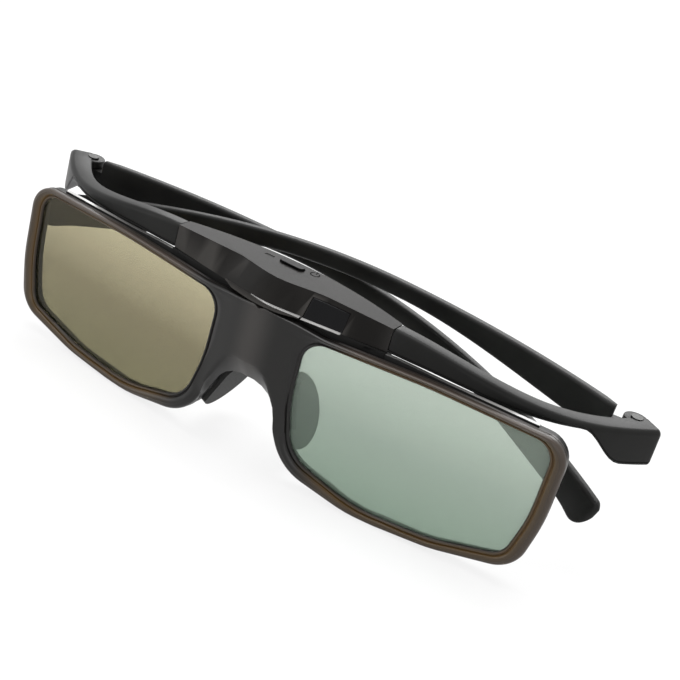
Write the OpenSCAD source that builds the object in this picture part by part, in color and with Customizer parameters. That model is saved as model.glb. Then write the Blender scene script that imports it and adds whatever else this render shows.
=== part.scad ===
// Folding 3D glasses with liquid crystal shutter lenses, temples folded across the back.
// X runs to the viewer's right, Y from the front of the lenses backwards, Z up. Millimetres.

/* [Lens windows] */
// Width of one lens window along its top edge
window_w = 58.4; // [52:0.1:62]
// Height of the lens window's box, without its bowed edges
window_h = 30; // [28.6:0.1:30.4]
// Distance from the middle plane to the inner top corner of a window
window_inset = 12; // [11.5:0.1:13.5]
// How far the inner side leans outwards on its way down
inner_lean = 3.4; // [2.5:0.1:4.5]
// How far the outer side leans inwards on its way down
outer_lean = 2.7; // [1.5:0.1:3.5]
// Rise of the inner bottom corner above the box
inner_lift = 1.8; // [1:0.1:2.4]
// Rise of the outer bottom corner above the box
outer_lift = 1.4; // [0.6:0.1:2]
// Rise of the bowed top edge at its middle
top_bow = 0.8; // [0.4:0.1:0.9]
// Drop of the bowed bottom edge below the box
bottom_bow = 3.9; // [2.5:0.1:5]
// Radius of the inner bottom corner
inner_bottom_r = 9; // [6:0.5:11]
// Radius of the inner top corner
inner_top_r = 5; // [4:0.5:6]
// Radius of the two outer corners
outer_r = 4.5; // [3:0.5:5.5]
// Angle by which each lens is turned back from the front plane
wrap = 7.2; // [3:0.1:10]

/* [Front] */
// Width of the rim along the top
rim_top = 1.7; // [1.6:0.1:1.8]
// Width of the rim at the sides
rim_side = 3.6; // [3:0.1:4]
// Width of the rim along the bottom
rim_bottom = 2.3; // [2:0.1:3.4]
// Depth of the front bezel in front of the lens plane
bezel_front = 1.6; // [1.5:0.1:2.2]
// Depth of the front bezel behind the lens plane
bezel_back = 1; // [0.6:0.1:1.4]
// Width and depth of the step along the bezel's front edges
bezel_step = 0.6; // [0.3:0.1:0.8]
// Width of the flare around the front of each window
flare_w = 0.7; // [0.4:0.1:0.8]
// Depth of the flare around the front of each window
flare_d = 0.7; // [0.3:0.1:0.8]
// Depth of the rear frame
rear_depth = 2.2; // [1.6:0.1:3]
// Depth of the lens seat in the rear frame
rear_seat = 1.2; // [1.1:0.05:1.4]
// How far the rear frame stays inside the bezel's outline
rear_inset = 0.25; // [0.1:0.05:0.5]
// Margin of the lens seat around the window
seat_margin = 1.1; // [0.8:0.1:1.5]
// Clearance between a lens and its seat
seat_clear = 0.1; // [0.05:0.05:0.3]
// Thickness of one polarizer sheet
polarizer_t = 0.3; // [0.2:0.05:0.5]
// Thickness of the liquid crystal cell
cell_t = 1.6; // [1.2:0.1:2]
// How far the bridge bulges in front of the rims
bridge_bulge = 0.9; // [0.4:0.1:2]
// Height of the nose arch above the middle of the lenses
arch_z = 4.5; // [0:0.1:8]
// Width of the nose arch at its top
arch_top_w = 9; // [6:0.5:12]
// Width between the legs of the nose arch at their feet
arch_foot_w = 23; // [20:0.5:26]
// Depth of the feet of the nose arch below the middle of the lenses
arch_foot_z = 9; // [6:0.5:11]
// Radius at the top of the nose arch
arch_r = 5; // [3:0.5:7]

/* [Nose pad] */
// Radius of each round nose pad wing
pad_r = 9; // [7:0.5:10]
// Thickness of the nose pad
pad_t = 1.8; // [1.2:0.1:2.5]
// Angle by which a wing leans from the upright
pad_lean = 25; // [15:1:32]
// Drop of the saddle, behind the bezel, below the top of the nose arch
saddle_drop = 4.6; // [3:0.1:5.5]
// Width of the saddle at its top
saddle_top_w = 12.4; // [11:0.2:13]
// Width between the legs of the saddle at their feet
saddle_foot_w = 19.2; // [17:0.2:21]
// Height of the nose pad's strap above the saddle
strap_h = 2.8; // [2:0.1:4]
// Depth of the nose pad's strap behind the rear frame
strap_d = 3.2; // [2.5:0.1:4]

/* [Brow housing] */
// Length of the brow housing between the two arm seams
housing_l = 58; // [50:0.5:62]
// Height of the housing
housing_h = 5.7; // [5.2:0.1:7]
// Height of the housing's underside above the middle of the lenses
housing_z = 18.7; // [18.3:0.1:20]
// Depth of the housing at the arm seams
housing_end_d = 4.2; // [3.8:0.1:5]
// Front of the housing at the seams, behind the lens plane's middle
housing_front = 0.3; // [0:0.1:1]
// Forward bulge of the crease along the housing's top
front_bulge = 2.4; // [1.5:0.1:3]
// Forward reach of the nose at the housing's lower edge
low_bulge = 5.9; // [4:0.1:6.4]
// Backward bulge of the housing's rear
rear_bulge = 5.6; // [5:0.1:7]
// Wall thickness of the housing
housing_wall = 1.2; // [0.9:0.1:1.4]
// Thickness of the brow shelf that closes the housing from below
shelf_t = 1.4; // [1:0.1:2]
// Gap along the seams between separate shells
seam_gap = 0.1; // [0.05:0.05:0.2]
// Length of the sensor window
sensor_l = 9.5; // [6:0.1:9.7]
// Distance of the sensor window's end from the flat cable
sensor_gap = 0.65; // [0.5:0.05:1.9]
// Height of the sensor window, from the housing's lower edge
sensor_h = 4.7; // [4:0.1:4.9]

/* [Controls] */
// Length of the power button
button_l = 6.4; // [5:0.1:7]
// Width of the power button
button_w = 2.2; // [1.6:0.1:2.4]
// Middle of the power button along the housing
button_x = -1.8; // [-3:0.1:0]
// Distance of the button's middle from the housing's rear edge
button_edge = 2.9; // [2.8:0.1:3.1]
// How far the power button stands proud
button_proud = 0.5; // [0.4:0.1:0.8]
// Travel of the power button
button_travel = 0.35; // [0.2:0.05:0.4]
// Clearance around the power button
button_clear = 0.15; // [0.1:0.05:0.2]
// Length of the light slot
led_l = 2.2; // [1.4:0.1:2.6]
// Width of the light slot
led_w = 0.8; // [0.6:0.1:1]
// Middle of the light slot along the housing
led_x = -7.8; // [-8.4:0.1:-7.2]
// Distance of the charging socket's middle from the housing screw
port_in = 7; // [6:0.1:8]
// Width of the charging socket
port_w = 7.4; // [7:0.1:7.8]
// Height of the charging socket
port_h = 2.5; // [2.2:0.1:2.8]
// Depth of the charging socket
port_d = 4; // [3.5:0.1:4.5]
// Overlap of the port cover around the socket's opening
cover_lap = 0.6; // [0.4:0.1:0.8]
// Thickness of the port cover
cover_t = 0.8; // [0.6:0.1:1]

/* [Electronics] */
// Thickness of the circuit board
board_t = 0.8; // [0.6:0.1:1]
// Height of the board above the brow shelf
board_up = 0.6; // [0.4:0.1:0.8]
// Length of the battery
battery_l = 13; // [8:0.5:14]
// Width of the battery
battery_w = 4.2; // [3:0.1:4.6]
// Thickness of the battery
battery_t = 2.4; // [1.5:0.1:2.6]
// Width of the flat cable to each lens
flex_w = 1.6; // [1.2:0.1:1.7]
// Distance of the flat cable's inner edge from the housing screw
flex_gap = 3.8; // [3.7:0.1:3.9]
// Length of the flat cable's lead under the board
flex_lead = 4; // [3.6:0.1:4.2]
// Thickness of the flat cable to each lens
flex_t = 0.25; // [0.15:0.05:0.3]

/* [Arms] */
// Distance of each arm's far end from the middle plane
arm_reach = 85.3; // [82:0.1:90]
// How far back the arm's outer face reaches
arm_back = 30; // [27:0.1:33]
// Drop of the arm's top edge from seam to hinge
arm_drop = 7.3; // [5:0.1:9]
// Height of the end block that carries the hinge
block_h = 8.8; // [8.6:0.1:10]
// Height of the slim stretch of the arm before the end block
arm_h = 4.2; // [3.5:0.1:5]
// Depth of the arm at the end block
block_d = 6; // [5:0.1:6.6]
// Length of the tongue that plugs into the housing
tongue_l = 4; // [3:0.5:5]

/* [Hinges] */
// Distance of a hinge pin from the arm's far end, sideways
hinge_in = 7.1; // [6.8:0.1:8]
// Distance of a hinge pin behind the arm's far end
hinge_behind = 0.4; // [0:0.1:1]
// Radius of the hinge pin
pin_r = 0.8; // [0.6:0.05:1]
// Clearance of the pin in the temple's bore
pin_clear = 0.05; // [0.03:0.01:0.1]
// Radius of the hinge knuckle
knuckle_r = 3; // [2.6:0.1:3.2]
// Height of the temple's knuckle
knuckle_h = 4.2; // [3:0.1:4.6]
// Clearance above and below the temple's knuckle
knuckle_clear = 0.2; // [0.1:0.05:0.3]
// Lean of both hinge pins, which lifts the folded right temple over the left
hinge_cant = 1.97; // [1.9:0.01:2.3]

/* [Temples] */
// Distance of a folded temple's tip from the far arm's end, sideways
tip_gap = 4.5; // [3:0.5:12]
// Thickness of a temple
temple_t = 3; // [2:0.1:3.2]
// Outward bow of a temple
temple_bow = 16.8; // [14:0.1:19]
// Height of the temple at the hinge
temple_root_h = 8.4; // [7:0.1:9]
// Height of the temple at its slim middle
temple_mid_h = 4.2; // [3.4:0.1:4.3]
// Height of the temple at its tip
temple_tip_h = 8.4; // [6:0.1:9]
// Distance from the hinge at which the ear hook starts
hook_start = 64; // [55:1:75]
// Drop of the tip below the straight line of the temple
hook_drop = 11.4; // [8:0.1:12]
// Fall of the top edge before the hook, per millimetre
temple_fall = 0.0188; // [0:0.001:0.03]
// Angle by which the folded right temple leans towards the lenses
right_fold = 6.2; // [6:0.1:7]
// Angle by which the folded left temple leans towards the lenses
left_fold = 3.3; // [3:0.1:3.6]

/* [Screws] */
// Radius of a screw's shank
screw_r = 0.6; // [0.5:0.05:0.7]
// Radius of a screw's head
screw_head_r = 1.1; // [0.9:0.05:1.2]
// Distance of the housing screws from the housing's ends
cover_screw_in = 6; // [5.6:0.1:6.4]
// Length of a housing screw's shank
cover_screw_l = 4.6; // [4:0.1:4.8]

/* [Hidden] */
$fn = 48;

left = -1;
right = 1;
arc_step = 10;
through = 60;
bow_r = 150;

// Where the lens plane crosses the middle plane, with y = 0 at the middle of each lens.
window_mid = window_inset + window_w / 2;
bridge_y = -window_mid * tan(wrap) * cos(wrap);

// The lens stack, front to back along the lens normal.
stack_t = 2 * polarizer_t + cell_t;
seat_v = bezel_back + rear_seat - stack_t;
rear_lip_v = seat_v + stack_t;
rear_v = bezel_back + rear_depth;

// The bottom edge bows through two soft corners, and both sides bow through one.
near_at = 0.36;
far_at = 0.69;
low_near = window_inset + near_at * window_w;
low_far = window_inset + far_at * window_w;
far_share = 0.68;
side_z = -3;
inner_z = -1;
inner_in = 0.2;
low_r = 40;
side_r = 40;
window_corners = [
    [window_inset + inner_lean, -window_h / 2 + inner_lift, inner_bottom_r],
    [low_near, -window_h / 2 - bottom_bow, low_r],
    [low_far, -window_h / 2 - bottom_bow * far_share, low_r],
    [window_inset + window_w - outer_lean, -window_h / 2 + outer_lift, outer_r],
    [window_inset + window_w - inner_in, side_z, side_r],
    [window_inset + window_w, window_h / 2, outer_r],
    [window_mid, window_h / 2 + top_bow, bow_r],
    [window_inset, window_h / 2, inner_top_r],
    [window_inset + inner_in, inner_z, side_r]
];
rim_corners = [
    moved(window_corners[0], -rim_side, -rim_side, rim_side),
    moved(window_corners[1], 0, -rim_bottom, rim_bottom),
    moved(window_corners[2], 0, -rim_bottom, rim_bottom),
    moved(window_corners[3], rim_side, -rim_bottom, rim_side),
    moved(window_corners[4], rim_side, 0, rim_side),
    moved(window_corners[5], rim_side, rim_top, rim_top),
    moved(window_corners[6], 0, rim_top, rim_top),
    moved(window_corners[7], -rim_side, rim_top, rim_top),
    moved(window_corners[8], -rim_side, 0, rim_side)
];

// The bridge between the rims, with the nose arch in its lower edge.
bridge_half = window_inset / 2;
bridge_top = housing_z - seam_gap;
bridge_top_r = 6;
bridge_over = 8;
bridge_reach = window_inset + bridge_over;
half_bulge = 0.6;
shoulder_in = 7;
shoulder_x = window_inset + shoulder_in;
foot_r = 0.5;
shoulder_z = window_h / 2 + rim_top;
leg_w = 2;
leg_x = arch_foot_w / 2 + leg_w;
saddle_z = arch_z - saddle_drop;
wing_back = 0.94;
wing_low = 0.9;

// The brow housing in plan: a nose in front and a shallow arc behind, between square ends.
housing_half = housing_l / 2;
cover_screw_x = housing_half - cover_screw_in;
flex_u = cover_screw_x - flex_gap;
sensor_x = flex_u - sensor_gap - sensor_l / 2;
port_x = port_in - cover_screw_x;
housing_top = housing_z + housing_h;
rear_r = (housing_half * housing_half + rear_bulge * rear_bulge) / (2 * rear_bulge);
bump_half = 13;
nose_r = 3;
rear_y = housing_front + housing_end_d + rear_bulge;
leaf_steps = 32;
sensor_steps = 8;
cavity_top = housing_top - housing_wall;

// Clearances between the parts on the board and their sizes.
board_gap = 0.5;
board_foot_r = 0.8;
part_gap = 0.3;
led_t = 0.7;
led_body_l = 1.6;
tongue_root = 0.5;
arm_screw_l = 2.9;

button_y = rear_y - button_edge;
flange_t = 0.4;
flange_w = 0.2;
switch_gap = 0.05;
led_y = rear_at(led_x) - button_edge;
port_y = rear_at(port_x) - housing_wall;
port_z = housing_z + board_up + board_t;
board_z = housing_z + board_up;
parts_z = board_z + board_t;
cover_axis_y = rear_at(abs(port_x) + port_w / 2 + cover_lap);

// The arms sweep out and back on one arc from the seams.
arm_front_r = (pow(arm_reach - housing_half, 2) + pow(arm_back - housing_front, 2)) / (2 * (arm_back - housing_front));
arm_end_angle = asin((arm_reach - housing_half) / arm_front_r);
arm_steps = 24;
block_top = housing_top - arm_drop;
arm_span = arm_reach - housing_half;
slim_rise = 2.5;
run_out = 1;
arm_top_end_x = housing_half + 0.84 * arm_span;
arm_low_start_x = housing_half + 0.124 * arm_span;
arm_low_end_x = housing_half + 0.716 * arm_span;
block_start_x = housing_half + 0.751 * arm_span;
block_full_x = housing_half + 0.902 * arm_span;

hinge_x = arm_reach - hinge_in;
hinge_y = arm_back + hinge_behind;
hinge_z = block_top - block_h / 2;
slot_gap = 1.3;
slot_r = knuckle_r + slot_gap;
head_t = 0.6;
screw_tip = housing_z - shelf_t + head_t + cover_screw_l;
pin_rim = 0.6;
pin_head_t = 0.4;
ear_inset = 0.2;
pin_l = block_h - 2 * ear_inset;
neck_half = 2;
neck_lap = 1.5;

// One temple in its own frame: hinge pin at the origin, chord along X, outward bow along Y.
temple_l = arm_reach + hinge_x - tip_gap;
root_x = 5;
root_y = 0.7;
temple_chord = temple_l - root_x;
temple_r = (temple_chord * temple_chord / 4 + temple_bow * temple_bow) / (2 * temple_bow);
temple_half_angle = asin(temple_chord / 2 / temple_r);
temple_steps = 32;
temple_xs = [for (i = [0:temple_steps]) root_x + temple_chord * i / temple_steps];
root_top = 5.5;
slim_at = 64;
swell_from = 92;
swell_share = 0.9245;
swell_to = temple_l * swell_share;
tip_top_r = 1.2;
tip_low_r = 5;
tip_lean = 2.5;

// The whole object stands on its rims, and the origin is in the middle of its depth.
foot_up = -min([for (p = outline(rim_corners)) p[1]]);
rear_reach = hinge_y + max([for (x = temple_xs) temple_out(x) * cos(left_fold) - x * sin(left_fold)]);
front_reach = bridge_front(bezel_front, bridge_bulge);
origin_back = (rear_reach + front_reach) / 2;

function unit(v) = v / norm(v);
function smooth(t) = let (k = min(1, max(0, t))) k * k * (3 - 2 * k);
function flat(p) = [p[0], p[1]];
function moved(corner, dx, dy, dr) = corner + [dx, dy, dr];
// Depth along Y of a thickness measured square to a lens.
function deep(v) = v / cos(wrap);

// Outline of the bridge around an arch of the given widths and height.
function bridge_corners(top_w, top_z, foot_w) = [
    [-leg_x, -arch_foot_z, foot_r],
    [-foot_w / 2, -arch_foot_z, foot_r],
    [-top_w / 2, top_z, arch_r],
    [top_w / 2, top_z, arch_r],
    [foot_w / 2, -arch_foot_z, foot_r],
    [leg_x, -arch_foot_z, foot_r],
    [shoulder_x, shoulder_z, foot_r],
    [bridge_half, bridge_top, bridge_top_r],
    [-bridge_half, bridge_top, bridge_top_r],
    [-shoulder_x, shoulder_z, foot_r]
];
function arch_corners() = bridge_corners(arch_top_w, arch_z, arch_foot_w);
function saddle_corners() = bridge_corners(saddle_top_w, saddle_z, saddle_foot_w);
// Half the width of the saddle at a height on its legs.
function saddle_x(z) =
    saddle_top_w / 2 + (saddle_foot_w - saddle_top_w) / 2 * (saddle_z - z) / (saddle_z + arch_foot_z);

// Points of one filleted corner b between a and c, grown outwards by g.
function corner_arc(a, b, c, g) =
    let (
        before = unit(flat(b) - flat(a)),
        after = unit(flat(c) - flat(b)),
        n1 = [before[1], -before[0]],
        n2 = [after[1], -after[0]],
        turn = atan2(before[0] * after[1] - before[1] * after[0], before * after),
        side = turn < 0 ? -1 : 1,
        centre = flat(b) - side * (n1 + n2) * b[2] / (1 + n1 * n2),
        start = atan2(n1[1], n1[0]),
        steps = max(1, ceil(abs(turn) / arc_step)),
        r = side * b[2] + g
    )
    [for (k = [0:steps]) centre + r * [cos(start + turn * k / steps), sin(start + turn * k / steps)]];

// Closed outline through filleted corners [x, y, radius], counter-clockwise, grown by g.
function outline(corners, g = 0) =
    let (n = len(corners))
    [for (i = [0:n - 1]) each corner_arc(corners[(i + n - 1) % n], corners[i], corners[(i + 1) % n], g)];

// The housing's front face at its lower edge and at its top crease, and its rear face moved out by g.
function front_low(x) = housing_front - low_bulge * (1 - norm([x, nose_r]) / norm([housing_half, nose_r]));
function front_top(x) = housing_front - front_bulge * smooth(1 - abs(x) / bump_half);
function front_face(x, z) =
    let (t = (z - housing_z - seam_gap) / (housing_h - seam_gap))
    front_low(x) + (front_top(x) - front_low(x)) * t;
function rear_at(x, g = 0) = rear_y - rear_r + sqrt(pow(rear_r + g, 2) - x * x);
function steps_to(half) = [for (i = [0:leaf_steps]) half * (2 * i / leaf_steps - 1)];
function rear_edge(half, g) = [for (x = steps_to(half)) [-x, rear_at(x, g)]];
function low_leaf(half) = concat([for (x = steps_to(half)) [x, front_low(x)]], rear_edge(half, 0));
function top_leaf(half, g) = concat([for (x = steps_to(half)) [x, front_top(x) - g]], rear_edge(half, g));

// Plan of the shelf: its front lies close behind the back of the bezel.
function bezel_rear_y(x) = bridge_y + abs(x) * tan(wrap) + deep(bezel_back + 2 * seam_gap);
function shelf_leaf() = concat(
    [for (x = [-housing_half, 0, housing_half]) [x, bezel_rear_y(x)]],
    rear_edge(housing_half, 0)
);
function bridge_front(depth, bulge) = bridge_y + bridge_reach / 6 * tan(wrap) - deep(depth) - bulge;

// Plan of an arm, its outer face on the arc and its depth growing towards the end block.
function arm_point(t, depth) =
    let (a = arm_end_angle * t, r = arm_front_r - depth)
    [housing_half + r * sin(a), housing_front + arm_front_r - r * cos(a)];
function arm_depth(t) = housing_end_d + (block_d - housing_end_d) * smooth(2 * t - 1);
function arm_top(x) = housing_top - arm_drop * smooth((x - housing_half) / (arm_top_end_x - housing_half));
function arm_low(x) =
    let (
        slim_low = block_top + slim_rise - arm_h,
        seam_low = housing_z,
        along = smooth((x - arm_low_start_x) / (arm_low_end_x - arm_low_start_x)),
        into_block = smooth((x - block_start_x) / (block_full_x - block_start_x)),
        low = seam_low + (slim_low - seam_low) * along
    )
    low + (block_top - block_h - low) * into_block;

// Edges of a temple: plan offset and heights at a distance along its chord.
function temple_out(x) = let (c = x - root_x - temple_chord / 2)
    root_y + temple_bow - temple_r + sqrt(temple_r * temple_r - c * c);
function temple_top(x) =
    let (t = max(0, x - hook_start) / (temple_l - hook_start))
    root_top - temple_fall * (x - root_x) - hook_drop * t * t;
function temple_h(x) =
    temple_root_h + (temple_mid_h - temple_root_h) * smooth((x - root_x) / (slim_at - root_x))
    + (temple_tip_h - temple_mid_h) * smooth((x - swell_from) / (swell_to - swell_from));

module place() translate([0, -origin_back, foot_up]) children();

// Puts a shape drawn along the lens plane onto the right or left lens.
module on_lens(side) {
    mirror([side < 0 ? 1 : 0, 0, 0])
        translate([0, bridge_y, 0])
            rotate([0, 0, wrap])
                children();
}

// Extrudes an outline in X and Z from one depth to another.
module slab(from_y, to_y) {
    translate([0, to_y, 0])
        rotate([90, 0, 0])
            linear_extrude(to_y - from_y)
                children();
}

module block(from, to) translate(from) cube(to - from);

module post(x, y, z, r, h) translate([x, y, z]) cylinder(r = r, h = h);

module on_hinge(side) {
    translate([side * hinge_x, hinge_y, hinge_z])
        rotate([0, hinge_cant, 0])
            mirror([side > 0 ? 1 : 0, 0, 0])
                children();
}

// The bridge, cut between two depths that follow the V of the lens planes.
module bridge(corners, front_depth, back_depth, bulge) {
    reach = bridge_reach;
    rise = reach * tan(wrap);
    plan = [
        [-reach, bridge_y + rise - deep(front_depth)],
        [-reach / 2, bridge_y + rise / 2 - deep(front_depth) - bulge * half_bulge],
        [-reach / 6, bridge_front(front_depth, bulge)],
        [reach / 6, bridge_front(front_depth, bulge)],
        [reach / 2, bridge_y + rise / 2 - deep(front_depth) - bulge * half_bulge],
        [reach, bridge_y + rise - deep(front_depth)],
        [reach, bridge_y + rise + deep(back_depth)],
        [0, bridge_y + deep(back_depth)],
        [-reach, bridge_y + rise + deep(back_depth)]
    ];
    intersection() {
        translate([0, 0, -through / 2])
            linear_extrude(through)
                polygon(plan);
        slab(-through / 2, through / 2)
            polygon(outline(corners));
    }
}

module front_bezel() {
    color("#3b3029")
        place()
            difference() {
                union() {
                    for (side = [left, right])
                        on_lens(side) {
                            slab(-bezel_front + bezel_step, bezel_back) polygon(outline(rim_corners));
                            slab(-bezel_front, bezel_back) polygon(outline(rim_corners, -bezel_step));
                        }
                    bridge(arch_corners(), bezel_front, bezel_back, bridge_bulge);
                }
                for (side = [left, right])
                    on_lens(side) {
                        slab(-through / 2, through / 2) polygon(outline(window_corners));
                        slab(seat_v, through / 2) polygon(outline(window_corners, seat_margin));
                        slab(-through / 2, flare_d - bezel_front) polygon(outline(window_corners, flare_w));
                    }
            }
}

module rear_frame() {
    color("#1b1a19")
        place()
            difference() {
                union() {
                    for (side = [left, right])
                        on_lens(side)
                            slab(bezel_back, rear_v) polygon(outline(rim_corners, -rear_inset));
                    bridge(saddle_corners(), -bezel_back - seam_gap, rear_v - seam_gap, 0);
                    brow_shelf();
                }
                for (side = [left, right]) {
                    on_lens(side) {
                        slab(-through / 2, through / 2) polygon(outline(window_corners, seat_clear));
                        slab(-through / 2, rear_lip_v) polygon(outline(window_corners, seat_margin));
                    }
                    flex_path(side, seat_clear);
                    screw_hole(side * cover_screw_x, screw_y());
                    screw_hole(side * tongue_screw_x(), tongue_screw_y());
                }
            }
}

// Floor of the housing: its front lip rests on the rear frame.
module brow_shelf() {
    lip_drop = housing_z - window_h / 2 - top_bow;
    translate([0, 0, housing_z - shelf_t])
        linear_extrude(shelf_t)
            polygon(shelf_leaf());
    intersection() {
        translate([0, 0, housing_z - lip_drop])
            linear_extrude(lip_drop - shelf_t / 2)
                polygon(shelf_leaf());
        for (side = [left, right])
            on_lens(side)
                slab(0, rear_v - 2 * seam_gap) polygon(outline(rim_corners, lip_drop));
    }
}

function screw_y() = (front_top(cover_screw_x) + rear_at(cover_screw_x)) / 2;
function tongue_screw_x() = housing_half - tongue_l / 2;
function tongue_screw_y() = housing_front + housing_end_d / 2;

// A screw's hole through the shelf, with a counterbore for its head.
module screw_hole(x, y) {
    post(x, y, housing_z - shelf_t - through, screw_head_r + seat_clear, through + head_t);
    post(x, y, housing_z - shelf_t, screw_r + seat_clear, through);
}

// A headed screw from under the shelf, reaching up by the given length.
module screw(x, y, length) {
    post(x, y, housing_z - shelf_t, screw_head_r, head_t);
    post(x, y, housing_z - shelf_t + head_t, screw_r, length);
}

module nose_pad() {
    wing_y = bridge_y + rear_v + pad_r * wing_back;
    wing_z = -pad_r * wing_low;
    color("#2a2a2a")
        place()
            difference() {
                union() {
                    intersection() {
                        slab(bridge_y, bridge_y + rear_v + strap_d) polygon(outline(saddle_corners()));
                        slab(-through, through)
                            translate([-through, -through])
                                square([2 * through, through + saddle_z + strap_h]);
                    }
                    for (side = [left, right])
                        translate([side * saddle_x(wing_z), wing_y, wing_z])
                            rotate([0, side * (90 - pad_lean), 0])
                                translate([0, 0, -pad_t / 2])
                                    cylinder(r = pad_r, h = pad_t);
                }
                for (side = [left, right])
                    on_lens(side) {
                        slab(-through, rear_v)
                            translate([-through, -through])
                                square(2 * through);
                        slab(-through, rear_v + strap_d) polygon(outline(window_corners, seat_clear));
                    }
            }
}

// The housing's outer body, whose front leans forwards from its top crease to its lower edge.
module housing_body() {
    half = housing_half - seam_gap;
    loft(
        [for (p = low_leaf(half)) [p[0], p[1], housing_z + seam_gap]],
        [for (p = top_leaf(half, 0)) [p[0], p[1], housing_top]]
    );
}

// A solid between two rings of as many points, each counter-clockwise from above.
module loft(low, top) {
    n = len(low);
    polyhedron(concat(low, top), concat(
        [[for (i = [0:n - 1]) i]],
        [[for (i = [n - 1:-1:0]) n + i]],
        [for (i = [0:n - 1]) let (j = (i + 1) % n) each [[i, n + i, n + j], [i, n + j, j]]]
    ));
}

module brow_housing() {
    color("#3d3836")
        place()
            difference() {
                housing_body();
                difference() {
                    translate([0, 0, cavity_top - through])
                        linear_extrude(through)
                            polygon(top_leaf(housing_half + housing_wall, -housing_wall));
                    for (side = [left, right])
                        post(side * cover_screw_x, screw_y(), housing_top - 2 * through, screw_head_r, 2 * through);
                }
                for (side = [left, right]) {
                    post(side * cover_screw_x, screw_y(), screw_tip - through, screw_r, through + seat_clear);
                    flex_path(side, seat_clear);
                }
                sensor_box();
                button_prism(button_clear, housing_top - through / 2, through);
                led_prism(seam_gap, housing_top - through / 2, through);
                port_box(seam_gap, port_y - port_d, port_y + through);
                cover_seat();
            }
}

// The way through the housing's front for the sensor window and the light behind it.
module sensor_box() {
    far_x = sensor_x + sensor_l / 2;
    block(
        [sensor_x - sensor_l / 2, housing_front - through, housing_z - housing_wall],
        [far_x, front_top(far_x) + housing_wall + seat_clear, housing_z + sensor_h]
    );
}

// One level ring of the sensor window, which follows the housing's leaning front.
function sensor_ring(z) =
    let (
        from_x = sensor_x - sensor_l / 2 + seam_gap,
        to_x = sensor_x + sensor_l / 2 - seam_gap,
        xs = [for (i = [0:sensor_steps]) from_x + (to_x - from_x) * i / sensor_steps]
    )
    concat(
        [for (x = xs) [x, front_face(x, z), z]],
        [for (i = [sensor_steps:-1:0]) [xs[i], front_face(xs[i], z) + housing_wall, z]]
    );

module sensor_window() {
    color("#0c0c0e")
        place()
            loft(sensor_ring(housing_z + seam_gap), sensor_ring(housing_z + sensor_h - seam_gap));
}

module button_prism(grow, z, h) {
    reach = button_l / 2 - button_w / 2;
    translate([button_x, button_y, z]) {
        for (end = [left, right])
            translate([end * reach, 0, 0])
                cylinder(r = button_w / 2 + grow, h = h);
        translate([-reach, -button_w / 2 - grow, 0])
            cube([2 * reach, button_w + 2 * grow, h]);
    }
}

module power_button() {
    flange_z = cavity_top - flange_t;
    color("#181818")
        place() {
            button_prism(0, flange_z, housing_top + button_proud - flange_z);
            button_prism(button_clear + flange_w, flange_z, flange_t);
        }
}

module led_prism(grow, z, h) {
    translate([led_x - led_l / 2 - grow, led_y - led_w / 2 - grow, z])
        cube([led_l + 2 * grow, led_w + 2 * grow, h]);
}

module light_pipe() {
    foot = 0.4;
    color("#c9c7c0")
        place() {
            led_prism(0, led_top(), housing_top - seam_gap - led_top());
            led_prism(foot, cavity_top - foot, foot);
        }
}

function led_top() = parts_z + led_t;

module status_led() {
    color("#e8e4d0")
        place()
            block(
                [led_x - led_body_l / 2, led_y - led_w / 2, parts_z],
                [led_x + led_body_l / 2, led_y + led_w / 2, led_top()]
            );
}

module port_box(grow, from_y, to_y) {
    block(
        [port_x - port_w / 2 - grow, from_y, port_z - grow],
        [port_x + port_w / 2 + grow, to_y, port_z + port_h + grow]
    );
}

// Shallow flat recess in the rear wall that the port cover lies in.
module cover_seat() {
    block(
        [port_x - port_w / 2 - cover_lap - seam_gap, cover_face_y() - seam_gap, housing_z - housing_wall],
        [port_x + port_w / 2 + cover_lap + seam_gap, rear_y + through, port_z + port_h + cover_lap + seam_gap]
    );
}

function cover_face_y() = cover_axis_y - cover_t;
function cover_axis_z() = housing_z + seam_gap + cover_t / 2;

module port_cover() {
    plug_d = 0.5;
    plug_in = 0.6;
    color("#242322")
        place() {
            block(
                [port_x - port_w / 2 - cover_lap, cover_face_y(), cover_axis_z()],
                [port_x + port_w / 2 + cover_lap, cover_axis_y, port_z + port_h + cover_lap]
            );
            translate([port_x - port_w / 2 - cover_lap, cover_axis_y - cover_t / 2, cover_axis_z()])
                rotate([0, 90, 0])
                    cylinder(r = cover_t / 2, h = port_w + 2 * cover_lap);
            block(
                [port_x - port_w / 2 + plug_in, cover_face_y() - plug_d, port_z + plug_in],
                [port_x + port_w / 2 - plug_in, cover_face_y(), port_z + port_h - plug_in]
            );
        }
}

module usb_socket() {
    mouth_y = cover_face_y() - seam_gap;
    shell = 0.3;
    back_t = 1.2;
    color("silver")
        place()
            difference() {
                port_box(0, mouth_y - port_d, mouth_y);
                block(
                    [port_x - port_w / 2 + shell, mouth_y - port_d + back_t, port_z + shell],
                    [port_x + port_w / 2 - shell, mouth_y + through, port_z + port_h - shell]
                );
            }
}

module main_board() {
    half = cover_screw_x - screw_head_r - board_gap;
    back_gap = housing_wall + part_gap;
    color("#1f5a3a")
        place()
            difference() {
                translate([0, 0, board_z])
                    linear_extrude(board_t)
                        polygon(top_leaf(half, -back_gap));
                port_side_cut();
            }
    color("#1f5a3a")
        place()
            for (side = [left, right])
                post(side * flex_u, lead_end_y() + board_foot_r + part_gap, housing_z, board_foot_r, board_up);
}

// Where the flat cables' leads under the board end, towards the back.
function lead_end_y() =
    bridge_y + sin(wrap) * (flex_u + flex_w)
    + cos(wrap) * (rear_lip_v - polarizer_t + flex_lead);

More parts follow.
